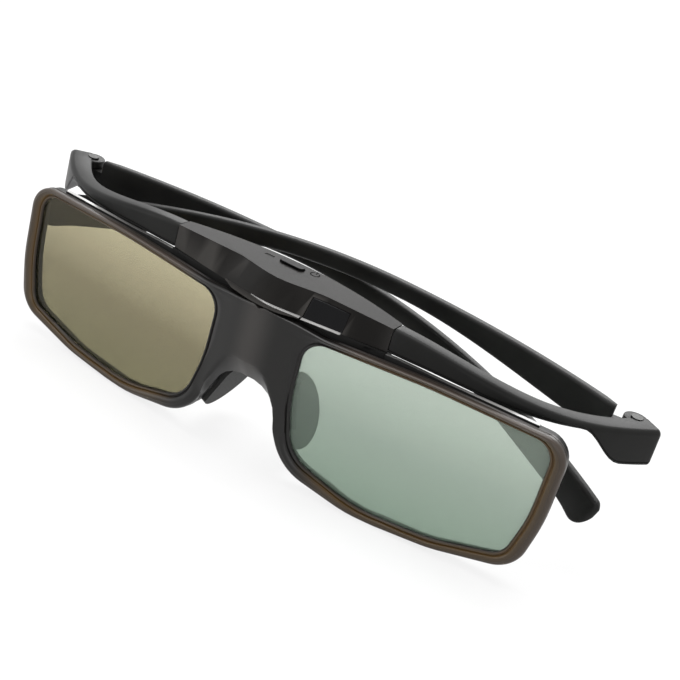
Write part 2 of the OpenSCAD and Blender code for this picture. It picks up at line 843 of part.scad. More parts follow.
// Leaves room behind the socket for the port cover's seat.
module port_side_cut() {
    block(
        [port_x - port_w / 2 - cover_lap - board_gap, cover_face_y() - housing_wall, housing_z],
        [port_x + port_w / 2 + cover_lap + board_gap, rear_y + through, housing_top]
    );
}

module controller_chip() {
    size = 3;
    chip_t = 0.9;
    front_gap = 2.3;
    chip_y = front_top(sensor_x) + housing_wall + front_gap;
    color("#151515")
        place()
            block(
                [sensor_x - size / 2, chip_y, parts_z],
                [sensor_x + size / 2, chip_y + size, parts_z + chip_t]
            );
}

module battery() {
    beside_button = 1;
    x = button_x - beside_button;
    y = front_top(x - battery_l / 2) + housing_wall + part_gap;
    color("#b9bcc0")
        place()
            block([x - battery_l / 2, y, parts_z], [x + battery_l / 2, y + battery_w, parts_z + battery_t]);
}

module ir_receiver() {
    size = [3.2, 1.6, 2];
    eye_r = 0.7;
    eye_h = 0.4;
    y = front_top(sensor_x + sensor_l / 2) + housing_wall + board_gap;
    color("#20242c")
        place() {
            translate([sensor_x - size[0] / 2, y, parts_z])
                cube(size);
            post(sensor_x, y + size[1] / 2, parts_z + size[2], eye_r, eye_h);
        }
}

module power_switch() {
    top = cavity_top - flange_t - button_travel - switch_gap;
    size = [3.2, 1.6, 1.3];
    stem_r = 0.5;
    stem_y = button_y - 0.2;
    color("#8f9194")
        place() {
            translate([button_x - size[0] / 2, stem_y - size[1] / 2, parts_z])
                cube(size);
            post(button_x, stem_y, parts_z + size[2], stem_r, top - parts_z - size[2]);
        }
}

module lens_sheet(side, from_v, to_v, tint) {
    color(tint)
        place()
            on_lens(side)
                slab(from_v, to_v) polygon(outline(window_corners, seat_margin - seat_clear));
}

module front_polarizer(side, tint) lens_sheet(side, seat_v, seat_v + polarizer_t, tint);
module shutter_cell(side, tint) lens_sheet(side, seat_v + polarizer_t, rear_lip_v - polarizer_t, tint);
module rear_polarizer(side, tint) lens_sheet(side, rear_lip_v - polarizer_t, rear_lip_v, tint);

// The flat cable from a cell's top edge up through the shelf and back under the board, grown for its slot.
module flex_path(side, grow) {
    v = rear_lip_v - polarizer_t;
    on_lens(side) {
        block(
            [flex_u - grow, v - flex_t - grow, window_h / 2],
            [flex_u + flex_w + grow, v + grow, board_z]
        );
        block(
            [flex_u - grow, v - flex_t - grow, board_z - flex_t - grow],
            [flex_u + flex_w + grow, v + flex_lead + grow, board_z + grow]
        );
    }
}

module lens_flex(side) {
    color("#b5762a")
        place()
            difference() {
                flex_path(side, 0);
                on_lens(side)
                    slab(-through / 2, through / 2) polygon(outline(window_corners, seat_margin - seat_clear));
            }
}

module arm(side) {
    plan = concat(
        [for (i = [0:arm_steps]) arm_point(i / arm_steps, 0)],
        [for (i = [arm_steps:-1:0]) arm_point(i / arm_steps, arm_depth(i / arm_steps))]
    );
    far_x = arm_reach + run_out;
    xs = [for (i = [0:2 * arm_steps]) housing_half + (far_x - housing_half) * i / (2 * arm_steps)];
    face = concat(
        [for (x = xs) [x, arm_low(x)]],
        [for (i = [len(xs) - 1:-1:0]) [xs[i], arm_top(xs[i])]]
    );
    tongue_d = housing_end_d - 2 * housing_wall - 2 * seam_gap;
    tongue_h = cavity_top - housing_z - 2 * seam_gap;
    color("#1d1c1b")
        place()
            difference() {
                mirror([side < 0 ? 1 : 0, 0, 0])
                    union() {
                        intersection() {
                            linear_extrude(through)
                                polygon(plan);
                            slab(-through, through) polygon(face);
                        }
                        translate([housing_half - tongue_l, housing_front + housing_wall + seam_gap,
                                   housing_z + seam_gap])
                            cube([tongue_l + tongue_root, tongue_d, tongue_h]);
                    }
                post(side * tongue_screw_x(), tongue_screw_y(), housing_z - shelf_t, screw_r, tongue_h);
                on_hinge(side) hinge_slot();
            }
    color("#1d1c1b")
        place()
            on_hinge(side) hinge_ears();
}

// Room for the temple's knuckle between the two ears of the end block.
module hinge_slot() {
    gap = knuckle_h + 2 * knuckle_clear;
    translate([0, 0, -gap / 2])
        cylinder(r = slot_r, h = gap);
    translate([0, 0, -through / 2])
        cylinder(r = pin_r, h = through);
    translate([0, 0, pin_l / 2])
        cylinder(r = pin_r + pin_rim + pin_clear, h = through);
}

module hinge_ears() {
    low = knuckle_h / 2 + knuckle_clear;
    ear_t = block_h / 2 - low - ear_inset;
    for (z = [-low - ear_t, low])
        difference() {
            translate([0, 0, z])
                cylinder(r = knuckle_r, h = ear_t);
            translate([0, 0, -through / 2])
                cylinder(r = pin_r, h = through);
        }
}

module hinge_pin(side) {
    color("#c8c8c8")
        place()
            on_hinge(side) {
                translate([0, 0, -pin_l / 2])
                    cylinder(r = pin_r, h = pin_l);
                translate([0, 0, pin_l / 2])
                    cylinder(r = pin_r + pin_rim, h = pin_head_t);
            }
}

module temple(side, fold) {
    xs = temple_xs;
    last = temple_steps;
    plan = concat(
        [for (i = [last:-1:0]) [xs[i], temple_out(xs[i])]],
        [for (i = [0:last]) [xs[i], temple_out(xs[i]) - temple_t]]
    );
    tip_low = temple_top(temple_l) - temple_h(temple_l);
    neck_x = root_x + neck_lap;
    edge_r = 0.2;
    tip_skip = 3;
    face = outline(concat(
        [for (i = [0:last - tip_skip]) [xs[i], temple_top(xs[i]) - temple_h(xs[i]), edge_r]],
        [[temple_l - tip_lean, tip_low, tip_low_r], [temple_l, temple_top(temple_l), tip_top_r]],
        [for (i = [last - tip_skip:-1:0]) [xs[i], temple_top(xs[i]), edge_r]]
    ));
    color("#1a1a1a")
        place()
            on_hinge(side)
                rotate([0, 0, -fold])
                    difference() {
                        union() {
                            intersection() {
                                translate([0, 0, -through])
                                    linear_extrude(2 * through)
                                        polygon(plan);
                                slab(-through, through) polygon(face);
                            }
                            translate([0, 0, -knuckle_h / 2])
                                linear_extrude(knuckle_h)
                                    polygon([
                                        [0, -neck_half],
                                        [neck_x, temple_out(neck_x) - temple_t],
                                        [neck_x, temple_out(neck_x)],
                                        [0, neck_half]
                                    ]);
                            translate([0, 0, -knuckle_h / 2])
                                cylinder(r = knuckle_r, h = knuckle_h);
                        }
                        translate([0, 0, -through / 2])
                            cylinder(r = pin_r + pin_clear, h = through);
                    }
}

module left_front_polarizer() front_polarizer(left, "#9c9573");
module left_shutter_cell() shutter_cell(left, "#8f8a68");
module left_rear_polarizer() rear_polarizer(left, "#9c9573");
module left_lens_flex() lens_flex(left);
module right_front_polarizer() front_polarizer(right, "#9fb0a1");
module right_shutter_cell() shutter_cell(right, "#8ea292");
module right_rear_polarizer() rear_polarizer(right, "#9fb0a1");
module right_lens_flex() lens_flex(right);
module left_arm() arm(left);
module right_arm() arm(right);
module left_hinge_pin() hinge_pin(left);
module right_hinge_pin() hinge_pin(right);
module left_temple() temple(left, left_fold);
module right_temple() temple(right, right_fold);

module cover_screws() {
    color("silver")
        place()
            for (side = [left, right])
                screw(side * cover_screw_x, screw_y(), cover_screw_l);
}

module arm_screws() {
    color("silver")
        place()
            for (side = [left, right])
                screw(side * tongue_screw_x(), tongue_screw_y(), arm_screw_l);
}

front_bezel();
rear_frame();
nose_pad();
brow_housing();
sensor_window();
power_button();
light_pipe();
port_cover();
usb_socket();
main_board();
controller_chip();
battery();
ir_receiver();
power_switch();
status_led();
left_front_polarizer();
left_shutter_cell();
left_rear_polarizer();
left_lens_flex();
right_front_polarizer();
right_shutter_cell();
right_rear_polarizer();
right_lens_flex();
left_arm();
right_arm();
left_hinge_pin();
right_hinge_pin();
left_temple();
right_temple();
cover_screws();
arm_screws();
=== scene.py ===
# %% [markdown]
# Folding 3D glasses, dressed for the camera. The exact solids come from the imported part, and this
# lesson gives them their rounded edges, ridges, seams and finishes. Every new piece rides on the
# body of the part that it belongs to, so the temples still fold, the button still goes down and
# the flap still opens.

# %% Load the part
import math

import bmesh
import bpy
from mathutils import Matrix, Vector
from mathutils.geometry import interpolate_bezier


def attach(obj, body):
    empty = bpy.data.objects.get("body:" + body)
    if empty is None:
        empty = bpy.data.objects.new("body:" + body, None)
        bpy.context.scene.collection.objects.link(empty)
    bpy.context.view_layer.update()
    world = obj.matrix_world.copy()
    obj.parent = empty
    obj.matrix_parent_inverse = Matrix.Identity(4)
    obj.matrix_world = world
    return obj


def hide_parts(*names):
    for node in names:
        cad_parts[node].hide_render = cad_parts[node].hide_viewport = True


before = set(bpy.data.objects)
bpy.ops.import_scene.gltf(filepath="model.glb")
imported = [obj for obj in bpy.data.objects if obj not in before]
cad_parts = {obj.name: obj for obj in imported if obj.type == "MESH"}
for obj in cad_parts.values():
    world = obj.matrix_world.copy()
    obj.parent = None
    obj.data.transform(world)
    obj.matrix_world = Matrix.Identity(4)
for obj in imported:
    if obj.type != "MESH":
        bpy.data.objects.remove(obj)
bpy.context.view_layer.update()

# %% [markdown]
# The part was drawn in millimetres, with the middle of the lenses as its zero, and then set down
# on its rims. A few small functions carry a point from that drawing to the scene, which is in
# metres: for plain places, for places on a lens, because each lens is turned back a little, and
# for places at a hinge or on a temple. An object could be moved instead, but a mesh that is made in
# its place keeps its object at the origin.

# %% Places on the part
MM = 0.001
WAY = {"left": -1, "right": 1}
WRAP = math.radians(7.2)
BRIDGE_Y = -5.16373
ORIGIN_BACK = 18.0996
FOOT_UP = 20.83
HINGE = (78.2, 30.4, 12.7)
HINGE_LEAN = math.radians(1.97)
FOLD = {"left": math.radians(3.3), "right": math.radians(6.2)}


def at(x, y, z):
    return Vector((x, y - ORIGIN_BACK, z + FOOT_UP)) * MM


def on_lens(u, v, z):
    return at(
        u * math.cos(WRAP) - v * math.sin(WRAP),
        BRIDGE_Y + u * math.sin(WRAP) + v * math.cos(WRAP),
        z,
    )


def hinge_matrix(side):
    place = Matrix.Translation(at(WAY[side] * HINGE[0], HINGE[1], HINGE[2]))
    lean = Matrix.Rotation(HINGE_LEAN, 4, "Y")
    turn = Matrix.Diagonal((-WAY[side], 1, 1, 1))
    return place @ lean @ turn


def temple_matrix(side):
    return hinge_matrix(side) @ Matrix.Rotation(-FOLD[side], 4, "Z") @ Matrix.Scale(MM, 4)


print("right hinge at", [round(c, 5) for c in hinge_matrix("right").translation])

# %% [markdown]
# Three formulas shape most of the curves. One eases softly from 0 to 1, one says how far a round
# edge falls away close to its end, and one gives the angles of a quarter turn. Curve objects could
# do the same, but a formula keeps every size in plain sight.

# %% Curve formulas
def smooth(t):
    t = min(1.0, max(0.0, t))
    return t * t * (3 - 2 * t)


def rounding(distance, radius):
    if distance >= radius:
        return 0.0
    return radius - math.sqrt(radius * radius - (radius - distance) ** 2)


def quarter_turn(steps):
    return [math.radians(90 * k / steps) for k in range(steps + 1)]


print("eased:", [round(smooth(k / 4), 3) for k in range(5)])

# %% [markdown]
# Every piece is finished in the same way: its faces are shaded smooth up to a chosen angle, and
# the object is left unmoved at the origin, so that a pattern on object coordinates stays put.
# Splitting the edges would keep them sharp too, but it tears the mesh, and a sharp mark doesn't.

# %% Finishing a piece
SHARP = math.radians(32)


def finish_piece(bm, name, body, nodes=(), sharp=SHARP):
    mesh = bpy.data.meshes.new(name)
    for edge in bm.edges:
        edge.smooth = not edge.is_manifold or edge.calc_face_angle(0.0) < sharp
    for face in bm.faces:
        face.smooth = True
    bm.to_mesh(mesh)
    bm.free()
    piece = bpy.data.objects.new(name, mesh)
    bpy.context.scene.collection.objects.link(piece)
    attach(piece, body)
    if nodes:
        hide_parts(*nodes)
    print(name, "faces:", len(mesh.polygons))
    return piece


print("edges stay sharp above", round(math.degrees(SHARP)), "degrees")

# %% [markdown]
# A sweep starts from one closed loop of vertices. The loop's edges are extruded, and each new
# vertex is moved to its place in the next loop. The arms, the temples and the rims are all made
# like this, and only their loops differ. Bridging finished loops would do it too, but it may pair
# the points of two ridges with a twist.

# %% Sweeping loops
MERGE = 1e-9


def next_loop(bm, verts, places):
    size = len(verts)
    edges = [bm.edges.get((verts[i], verts[(i + 1) % size])) for i in range(size)]
    grown = bmesh.ops.extrude_edge_only(bm, edges=edges)["geom"]
    made = {g for g in grown if isinstance(g, bmesh.types.BMVert)}
    partners = []
    for vert, place in zip(verts, places):
        others = (edge.other_vert(vert) for edge in vert.link_edges)
        partners.append(next(other for other in others if other in made))
        partners[-1].co = place
    return partners


def sweep(bm, loops, ring=False):
    verts = [bm.verts.new(place) for place in loops[0]]
    for i, vert in enumerate(verts):
        bm.edges.new((vert, verts[(i + 1) % len(verts)]))
    rows = [verts]
    for places in loops[1:]:
        rows.append(next_loop(bm, rows[-1], places))
    if ring:
        next_loop(bm, rows[-1], loops[0])
    else:
        for row in (rows[0], rows[-1]):
            bm.faces.new(row)
    bmesh.ops.remove_doubles(bm, verts=bm.verts, dist=MERGE)
    bmesh.ops.recalc_face_normals(bm, faces=bm.faces)
    return rows


print("loops are closed within", MERGE, "m")

# %% [markdown]
# A lens window is a polygon with rounded corners. The rim's outer edge has the same corners moved
# outwards, so both outlines get the same number of points and every point has its partner. That is
# what a ridged rim needs: each ridge runs at a share of the way from one outline to the other. An
# offset of the finished outline would lose that pairing in the tight corners.

# %% Outlines of a window and its rim
WINDOW = [
    (15.4, -13.2, 9), (33.024, -18.9, 40), (52.296, -17.652, 40), (67.7, -13.6, 4.5),
    (70.2, -3, 40), (70.4, 15, 4.5), (41.2, 15.8, 150), (12, 15, 5), (12.2, -1, 40),
]
RIM_SIDE, RIM_LOW, RIM_TOP = 3.6, 2.3, 1.7
RIM_MOVES = [
    (-RIM_SIDE, -RIM_SIDE, RIM_SIDE), (0, -RIM_LOW, RIM_LOW), (0, -RIM_LOW, RIM_LOW),
    (RIM_SIDE, -RIM_LOW, RIM_SIDE), (RIM_SIDE, 0, RIM_SIDE), (RIM_SIDE, RIM_TOP, RIM_TOP),
    (0, RIM_TOP, RIM_TOP), (-RIM_SIDE, RIM_TOP, RIM_TOP), (-RIM_SIDE, 0, RIM_SIDE),
]
RIM = [tuple(c + m for c, m in zip(corner, move)) for corner, move in zip(WINDOW, RIM_MOVES)]
ARC_STEPS = [14, 5, 5, 10, 4, 10, 5, 12, 5]
STRAIGHT_STEPS = [8, 8, 8, 8, 8, 10, 24, 14, 10]


def corner_arc(corners, i, steps):
    n = len(corners)
    a, b, c = (Vector(corners[j % n][:2]) for j in (i - 1, i, i + 1))
    before, after = (b - a).normalized(), (c - b).normalized()
    n1, n2 = Vector((before.y, -before.x)), Vector((after.y, -after.x))
    turn = math.atan2(before.x * after.y - before.y * after.x, before.dot(after))
    side = -1 if turn < 0 else 1
    radius = corners[i][2]
    centre = b - side * (n1 + n2) * radius / (1 + n1.dot(n2))
    start = math.atan2(n1.y, n1.x)
    angles = [start + turn * k / steps for k in range(steps + 1)]
    return [centre + side * radius * Vector((math.cos(g), math.sin(g))) for g in angles]


def outline(corners):
    arcs = [corner_arc(corners, i, steps) for i, steps in enumerate(ARC_STEPS)]
    points = []
    for i, (arc, steps) in enumerate(zip(arcs, STRAIGHT_STEPS)):
        following = arcs[(i + 1) % len(arcs)][0]
        points += arc
        points += [arc[-1].lerp(following, k / steps) for k in range(1, steps)]
    return points


window_line = outline(WINDOW)
rim_line = [Vector((p.x, max(p.y, -FOOT_UP))) for p in outline(RIM)]
count = len(window_line)
print("points on an outline:", count, len(rim_line))

# %% [markdown]
# Between the lenses the front spans the nose with an arch. Behind the arch lies the saddle, a
# lower arch, and the front rolls back and down to it. The arch is a rounded corner and a leg, and
# the saddle is a rounded corner that a curve will carry on. A path and a distance along it say
# where a point goes, so the points stay evenly spread however long the path is.

# %% The nose arch and the saddle
ARCH_TOP, ARCH_FOOT, ARCH_STEPS = 4.5, (11.5, -9), 14
ARCH = [(-4.5, ARCH_TOP, 5), (4.5, ARCH_TOP, 5), (*ARCH_FOOT, 0.5), (20, -9, 0.5)]
SADDLE_TOP = -0.1
SADDLE = [(-6.2, SADDLE_TOP, 8), (6.2, SADDLE_TOP, 8), (9.6, -9, 0.5), (20, -9, 0.5)]
SIDE_X, SIDE_LOW, SIDE_HIGH = 30, -15, 14
LEG_STEPS, LEG_GAP = 30, 0.02


def along(points, distance):
    for a, b in zip(points[:-1], points[1:]):
        step = (b - a).length
        if distance <= step:
            return a.lerp(b, distance / step)
        distance -= step
    return points[-1].copy()


def path_length(points):
    return sum((b - a).length for a, b in zip(points[:-1], points[1:]))


def share_along(points, share):
    return along(points, path_length(points) * share)


def rim_x_at(z):
    """The rim's nose side at a height, read from its own outline."""
    side = [p for p in rim_line if p.x < SIDE_X and SIDE_LOW < p.y < SIDE_HIGH]
    return min(side, key=lambda p: abs(p.y - z)).x


arch_arc = corner_arc(ARCH, 1, ARCH_STEPS)
saddle_arc = corner_arc(SADDLE, 1, ARCH_STEPS)
leg = [arch_arc[-1].lerp(Vector(ARCH_FOOT), k / LEG_STEPS) for k in range(1, LEG_STEPS + 1)]
leg = [p for p in leg if p.x < rim_x_at(p.y) - LEG_GAP]
arch_line = [Vector((0, ARCH_TOP)), *arch_arc, *leg]
print("arch points:", len(arch_line), "length:", round(path_length(arch_line), 2), "mm")

# %% [markdown]
# On the nose side the rim widens into half of the bridge. Its outer edge there runs along the top
# of the bridge, down the middle plane, and along the nose arch back to the rim. With the saddle
# behind the arch, these are the four paths that the window's nose side will be paired with. The
# saddle's tail is a curve that leaves the saddle and joins the rim in their own directions, so no
# kink shows under the nose.

# %% Paths around the bridge
SHOULDER_X, SHOULDER_Z = 19.0, 16.9
BRIDGE_TOP, TOP_BEND, TOP_STEPS = 18.6, 6, 6
NOSE_END_Z = -12.0
TAIL_GAP, TAIL_X = 0.3, 20
SADDLE_EASE, EASE_POINTS = 3.5, 16

nose = [i for i, p in enumerate(window_line) if p.x < SHOULDER_X and p.y > NOSE_END_Z]
first = next(i for i in nose if (i - 1) % count not in nose)
nose = [(first + k) % count for k in range(len(nose))]
window_nose = [window_line[i] for i in nose]
rim_nose = [rim_line[i] for i in nose]
top_bend = [(0, BRIDGE_TOP, 0), (TOP_BEND, BRIDGE_TOP, TOP_BEND), (SHOULDER_X, SHOULDER_Z, 0)]
top_arc = corner_arc(top_bend, 1, TOP_STEPS)
top_line = [rim_nose[0], *top_arc[::-1], Vector((0, BRIDGE_TOP))]
middle_line = [Vector((0, BRIDGE_TOP)), Vector((0, ARCH_TOP))]
rim_tail = [p for p in rim_nose if p.y < leg[-1].y - TAIL_GAP and p.x < TAIL_X]
arch_path = arch_line + rim_tail
saddle_way = (saddle_arc[-1] - saddle_arc[-2]).normalized() * SADDLE_EASE
tail_way = (arch_path[-1] - arch_path[-2]).normalized() * SADDLE_EASE
ease = (saddle_arc[-1], saddle_arc[-1] + saddle_way, arch_path[-1] - tail_way, arch_path[-1])
saddle_tail = interpolate_bezier(*ease, EASE_POINTS)
saddle_path = [Vector((0, SADDLE_TOP)), *saddle_arc, *saddle_tail[1:]]
print("nose columns:", len(nose), "arch path:", len(arch_path), "saddle path:", len(saddle_path))

# %% [markdown]
# Each column of the mesh runs from a point on the window to its partner on the outer edge. On the
# nose side the partners come from the four paths, in the order in which the window turns past them.
# A weight eases each column from plain rim to bridge, because a hard change would leave a crease.

# %% Pairing the nose side with the bridge's edge
TOP_AT = 5.2
APEX_Z, APEX_X = 6.0, 14
EASE_COLUMNS, EASE_HEIGHT = 8, 5.0

apex = next(k for k, p in enumerate(window_nose) if p.y < APEX_Z and p.x < APEX_X)
apex_run = path_length(window_nose[: apex + 1])
whole_run = path_length(window_nose)


def nose_partner(k):
    """Where column k of the nose side ends, and the saddle point that it rolls on to, if any."""
    run = path_length(window_nose[: k + 1])
    if run <= TOP_AT:
        return share_along(top_line, run / TOP_AT), None
    if k < apex:
        return share_along(middle_line, (run - TOP_AT) / (apex_run - TOP_AT)), None
    share = (run - apex_run) / (whole_run - apex_run)
    return share_along(arch_path, share), share_along(saddle_path, share)


outer_line = [p.copy() for p in rim_line]
roll_line = [None] * count
nose_weight = [0.0] * count
for k, i in enumerate(nose):
    outer_line[i], roll_line[i] = nose_partner(k)
    into = smooth(k / EASE_COLUMNS)
    out = smooth((window_line[i].y - NOSE_END_Z) / EASE_HEIGHT)
    nose_weight[i] = min(into, out)
print("weights:", [round(nose_weight[i], 2) for i in nose][::6])

# %% [markdown]
# The bridge's front is a smooth bulge, blunt at the middle, that is rounded along its top edge and
# rolls back to the saddle once it reaches the arch. A subdivided block could be pulled into this
# shape by hand. A depth for every place on the front is chosen instead, because the ridged rim can
# then be blended into it point by point.

# %% The bridge's front
LENS_EDGE_DEPTH, BEZEL_BACK, TOP_ROUND = 1.2, 1.0, 0.35
NOSE_RISE, NOSE_SPAN, NOSE_BLUNT, BULGE_BEND = 1.42, 12.0, 5.0, 1.6
ROLL_START, ROLL_BEND = 0.6, 1.25
TINY = 1e-9

saddle_partners = [
    share_along(saddle_path, path_length(arch_path[: k + 1]) / path_length(arch_path))
    for k in range(len(arch_line))
]


def nearest(point, line):
    best = math.inf
    for a, b in zip(line[:-1], line[1:]):
        d = b - a
        t = min(1.0, max(0.0, (point - a).dot(d) / max(TINY, d.length_squared)))
        best = min(best, (a + d * t - point).length)
    return best


def saddle_gap(here):
    """How far the saddle lies inside the arch, near a point."""
    pairs = zip(arch_line, saddle_partners)
    arch_point, saddle_point = min(pairs, key=lambda pair: (pair[0] - here).length)
    return (arch_point - saddle_point).length


def bridge_back(x):
    return BRIDGE_Y + x * math.tan(WRAP) + BEZEL_BACK / math.cos(WRAP)


def bridge_front(x, z, onward=0.0, gap=None):
    """Depth of the bridge's front; onward is how far past the arch a point of the roll lies."""
    bulge = NOSE_RISE * max(0.0, 1 - (x / NOSE_SPAN) ** 2) ** BULGE_BEND
    face = BRIDGE_Y + math.hypot(x, NOSE_BLUNT) * math.tan(WRAP) - LENS_EDGE_DEPTH - bulge
    here = Vector((x, z))
    gap = (saddle_gap(here) if gap is None else gap) + ROLL_START
    into = ROLL_START + onward - (0.0 if onward else nearest(here, arch_line))
    share = min(1.0, max(0.0, into / gap))
    roll = (bridge_back(x) - face) * share**ROLL_BEND
    return face + roll + rounding(nearest(here, top_line), TOP_ROUND)


print("bridge depth at the middle:", round(bridge_back(0) - bridge_front(0, APEX_Z), 2), "mm")

# %% [markdown]
# Now the cross-section of the rim. From the lens outwards it has a dark gap, a thin raised ring, a
# groove, and a broad bead with a fine step on it. Each row of the section becomes one loop around
# the window, at a distance and a depth of its own. A profile swept along a curve object would give
# the ridges too, but it couldn't widen into the bridge.

# %% The bezel's rows
RING_ROWS = [
    (0.00, -0.04), (0.00, -0.46), (0.10, -0.54), (0.20, -0.78), (0.34, -0.90), (0.52, -0.90),
    (0.66, -0.78), (0.76, -0.56), (0.88, -0.56),
]
BEAD_ROWS = [
    (0.05, -0.92), (0.14, -1.20), (0.26, -1.40), (0.40, -1.52), (0.53, -1.56), (0.57, -1.45),
    (0.68, -1.43), (0.80, -1.32), (0.90, -1.10), (0.97, -0.80), (1.00, -0.45), (1.00, 0.25),
    (0.93, 0.32), (0.93, 0.48), (1.00, 0.55), (1.00, 1.00),
]
BACK_ROWS = [(1.25, 1.00), (1.25, -0.04)]
FRONT_BEAD_ROWS = 11


def lens_point(i, distance, depth):
    w, r = window_line[i], rim_line[i]
    p = w + (r - w).normalized() * distance
    return on_lens(p.x, depth, p.y)


def bridge_point(i, row, start):
    """Where a row of the bead runs in column i once the rim has become the bridge."""
    o = outer_line[i]
    if row < FRONT_BEAD_ROWS:
        p = start.lerp(o, BEAD_ROWS[row][0])
        return at(p.x, bridge_front(p.x, p.y), p.y)
    behind = (row - FRONT_BEAD_ROWS + 1) / (len(BEAD_ROWS) - FRONT_BEAD_ROWS)
    if roll_line[i] is None:
        front, back = bridge_front(o.x, o.y), bridge_back(o.x)
        return at(o.x, front + (back - front) * behind, o.y)
    gap = (roll_line[i] - o).length
    onward = behind * gap
    p = o.lerp(roll_line[i], onward / max(gap, TINY))
    return at(p.x, bridge_front(p.x, p.y, onward, gap), p.y)


def bead_point(i, row):
    share, depth = BEAD_ROWS[row]
    w, r = window_line[i], rim_line[i]
    groove = w + (r - w).normalized() * RING_ROWS[-1][0]
    plain = groove.lerp(r, share)
    rim_place = on_lens(plain.x, depth, plain.y)
    if nose_weight[i] == 0.0:
        return rim_place
    start = Vector((groove.x * math.cos(WRAP), groove.y))
    return rim_place.lerp(bridge_point(i, row, start), nose_weight[i])


rows = [[lens_point(i, d, v) for i in range(count)] for d, v in RING_ROWS]
rows += [[bead_point(i, row) for i in range(count)] for row in range(len(BEAD_ROWS))]
rows += [[lens_point(i, d, v) for i in range(count)] for d, v in BACK_ROWS]
print("bezel rows:", len(rows), "columns:", count)

# %% [markdown]
# The rows are swept into half a bezel, and each row keeps its number in an attribute, which will
# pick its tone later. The faces on the middle plane are taken out, and the mirror operator makes
# the other half, so both sides are sure to match.

# %% The front bezel
ON_MIDDLE, MIRROR_NEAR, SEAM_NEAR = 1e-6, 2e-5, 1e-5
BEZEL_SHARP = math.radians(50)

bezel = bmesh.new()
band = bezel.verts.layers.float.new("rim_band")
for number, row in enumerate(sweep(bezel, rows, ring=True)):
    for vert in row:
        if vert.is_valid:
            vert[band] = number / (len(rows) - 1)
on_middle = [f for f in bezel.faces if all(abs(v.co.x) < ON_MIDDLE for v in f.verts)]
bmesh.ops.delete(bezel, geom=on_middle, context="FACES")
half = [*bezel.verts, *bezel.edges, *bezel.faces]
bmesh.ops.mirror(bezel, geom=half, matrix=Matrix.Identity(4), merge_dist=MIRROR_NEAR, axis="X")
bmesh.ops.remove_doubles(bezel, verts=bezel.verts, dist=SEAM_NEAR)
bmesh.ops.recalc_face_normals(bezel, faces=bezel.faces)
front_piece = finish_piece(
    bezel, "bezel_front", "front", ["front_bezel"], sharp=BEZEL_SHARP
)
print("faces cut at the middle:", len(on_middle))

# %% [markdown]
# The arms sweep outwards and back from the brow on one arc. Their height follows two smooth curves,
# slim in the middle, and their end swells into the block that carries the hinge. The curves are
# formulas of the distance from the brow, so the arm's seam meets the brow exactly.

# %% The arms' curves
HALF_BROW, BROW_FRONT, BROW_DEPTH = 29.0, 0.3, 4.2
BROW_TOP, BROW_LOW = 24.4, 18.7
ARM_REACH, ARM_BACK, ARM_DROP = 85.3, 30.0, 7.3
ARM_SPAN = ARM_REACH - HALF_BROW
ARM_R = (ARM_SPAN**2 + (ARM_BACK - BROW_FRONT) ** 2) / (2 * (ARM_BACK - BROW_FRONT))
ARM_SWEEP = math.asin(ARM_SPAN / ARM_R)
BLOCK_H, BLOCK_D, SLIM_H, SLIM_RISE = 8.8, 6.0, 3.8, 2.5
BLOCK_TOP = BROW_TOP - ARM_DROP
DROP_RUN, SLIM_FROM, SLIM_RUN, BLOCK_FROM, BLOCK_RUN = 0.84, 0.124, 0.592, 0.751, 0.151


def arm_spot(t, inward):
    a, r = ARM_SWEEP * t, ARM_R - inward
    return HALF_BROW + r * math.sin(a), BROW_FRONT + ARM_R - r * math.cos(a)


def arm_depth(t):
    return BROW_DEPTH + (BLOCK_D - BROW_DEPTH) * smooth(2 * t - 1)


def arm_top(x):
    return BROW_TOP - ARM_DROP * smooth((x - HALF_BROW) / (DROP_RUN * ARM_SPAN))


def arm_low(x):
    share = (x - HALF_BROW) / ARM_SPAN
    slim_low = BLOCK_TOP + SLIM_RISE - SLIM_H
    low = BROW_LOW + (slim_low - BROW_LOW) * smooth((share - SLIM_FROM) / SLIM_RUN)
    return low + (BLOCK_TOP - BLOCK_H - low) * smooth((share - BLOCK_FROM) / BLOCK_RUN)


print("arm radius:", round(ARM_R, 2), "end turned by", round(math.degrees(ARM_SWEEP), 1))

# %% [markdown]
# An arm's section is a tall bar with a broad round along its outer top edge and a thin groove near
# its lower edge. The points are measured from the top or from the foot, so the rounds and the
# groove keep their size while the bar changes its height. At both ends the section shrinks on a
# quarter round, which softens the seam and the hinge block without a bevel.

# %% The arms' section
ROUND_OUT, ROUND_IN, ROUND_STEPS = 1.2, 0.6, 5
FOOT_ROUND = [(0.45, 0.0), (0.12, 0.12), (0.0, 0.4)]
FOOT_GROOVE = [(0.0, 0.6), (0.2, 0.68), (0.2, 0.8), (0.0, 0.88)]
END_ROUND, SEAM_ROUND = 1.5, 0.3
ARM_STEPS = 44
ARM_STATIONS = [0, 0.001, 0.0025, 0.006, *(k / ARM_STEPS for k in range(1, ARM_STEPS))]
ARM_STATIONS += [0.985, 0.992, 0.997, 1.0]


def bar_section(depth):
    """Points (inward, down from the top) and then (inward, up from the foot) around a bar."""
    turn = quarter_turn(ROUND_STEPS)
    flat = depth - ROUND_IN
    top = [(ROUND_OUT * (1 - math.cos(a)), ROUND_OUT * (1 - math.sin(a))) for a in turn]
    top += [(flat + ROUND_IN * math.sin(a), ROUND_IN * (1 - math.cos(a))) for a in turn]
    foot = [(flat + ROUND_IN * math.cos(a), ROUND_IN * (1 - math.sin(a))) for a in turn]
    return top, foot + FOOT_ROUND + FOOT_GROOVE


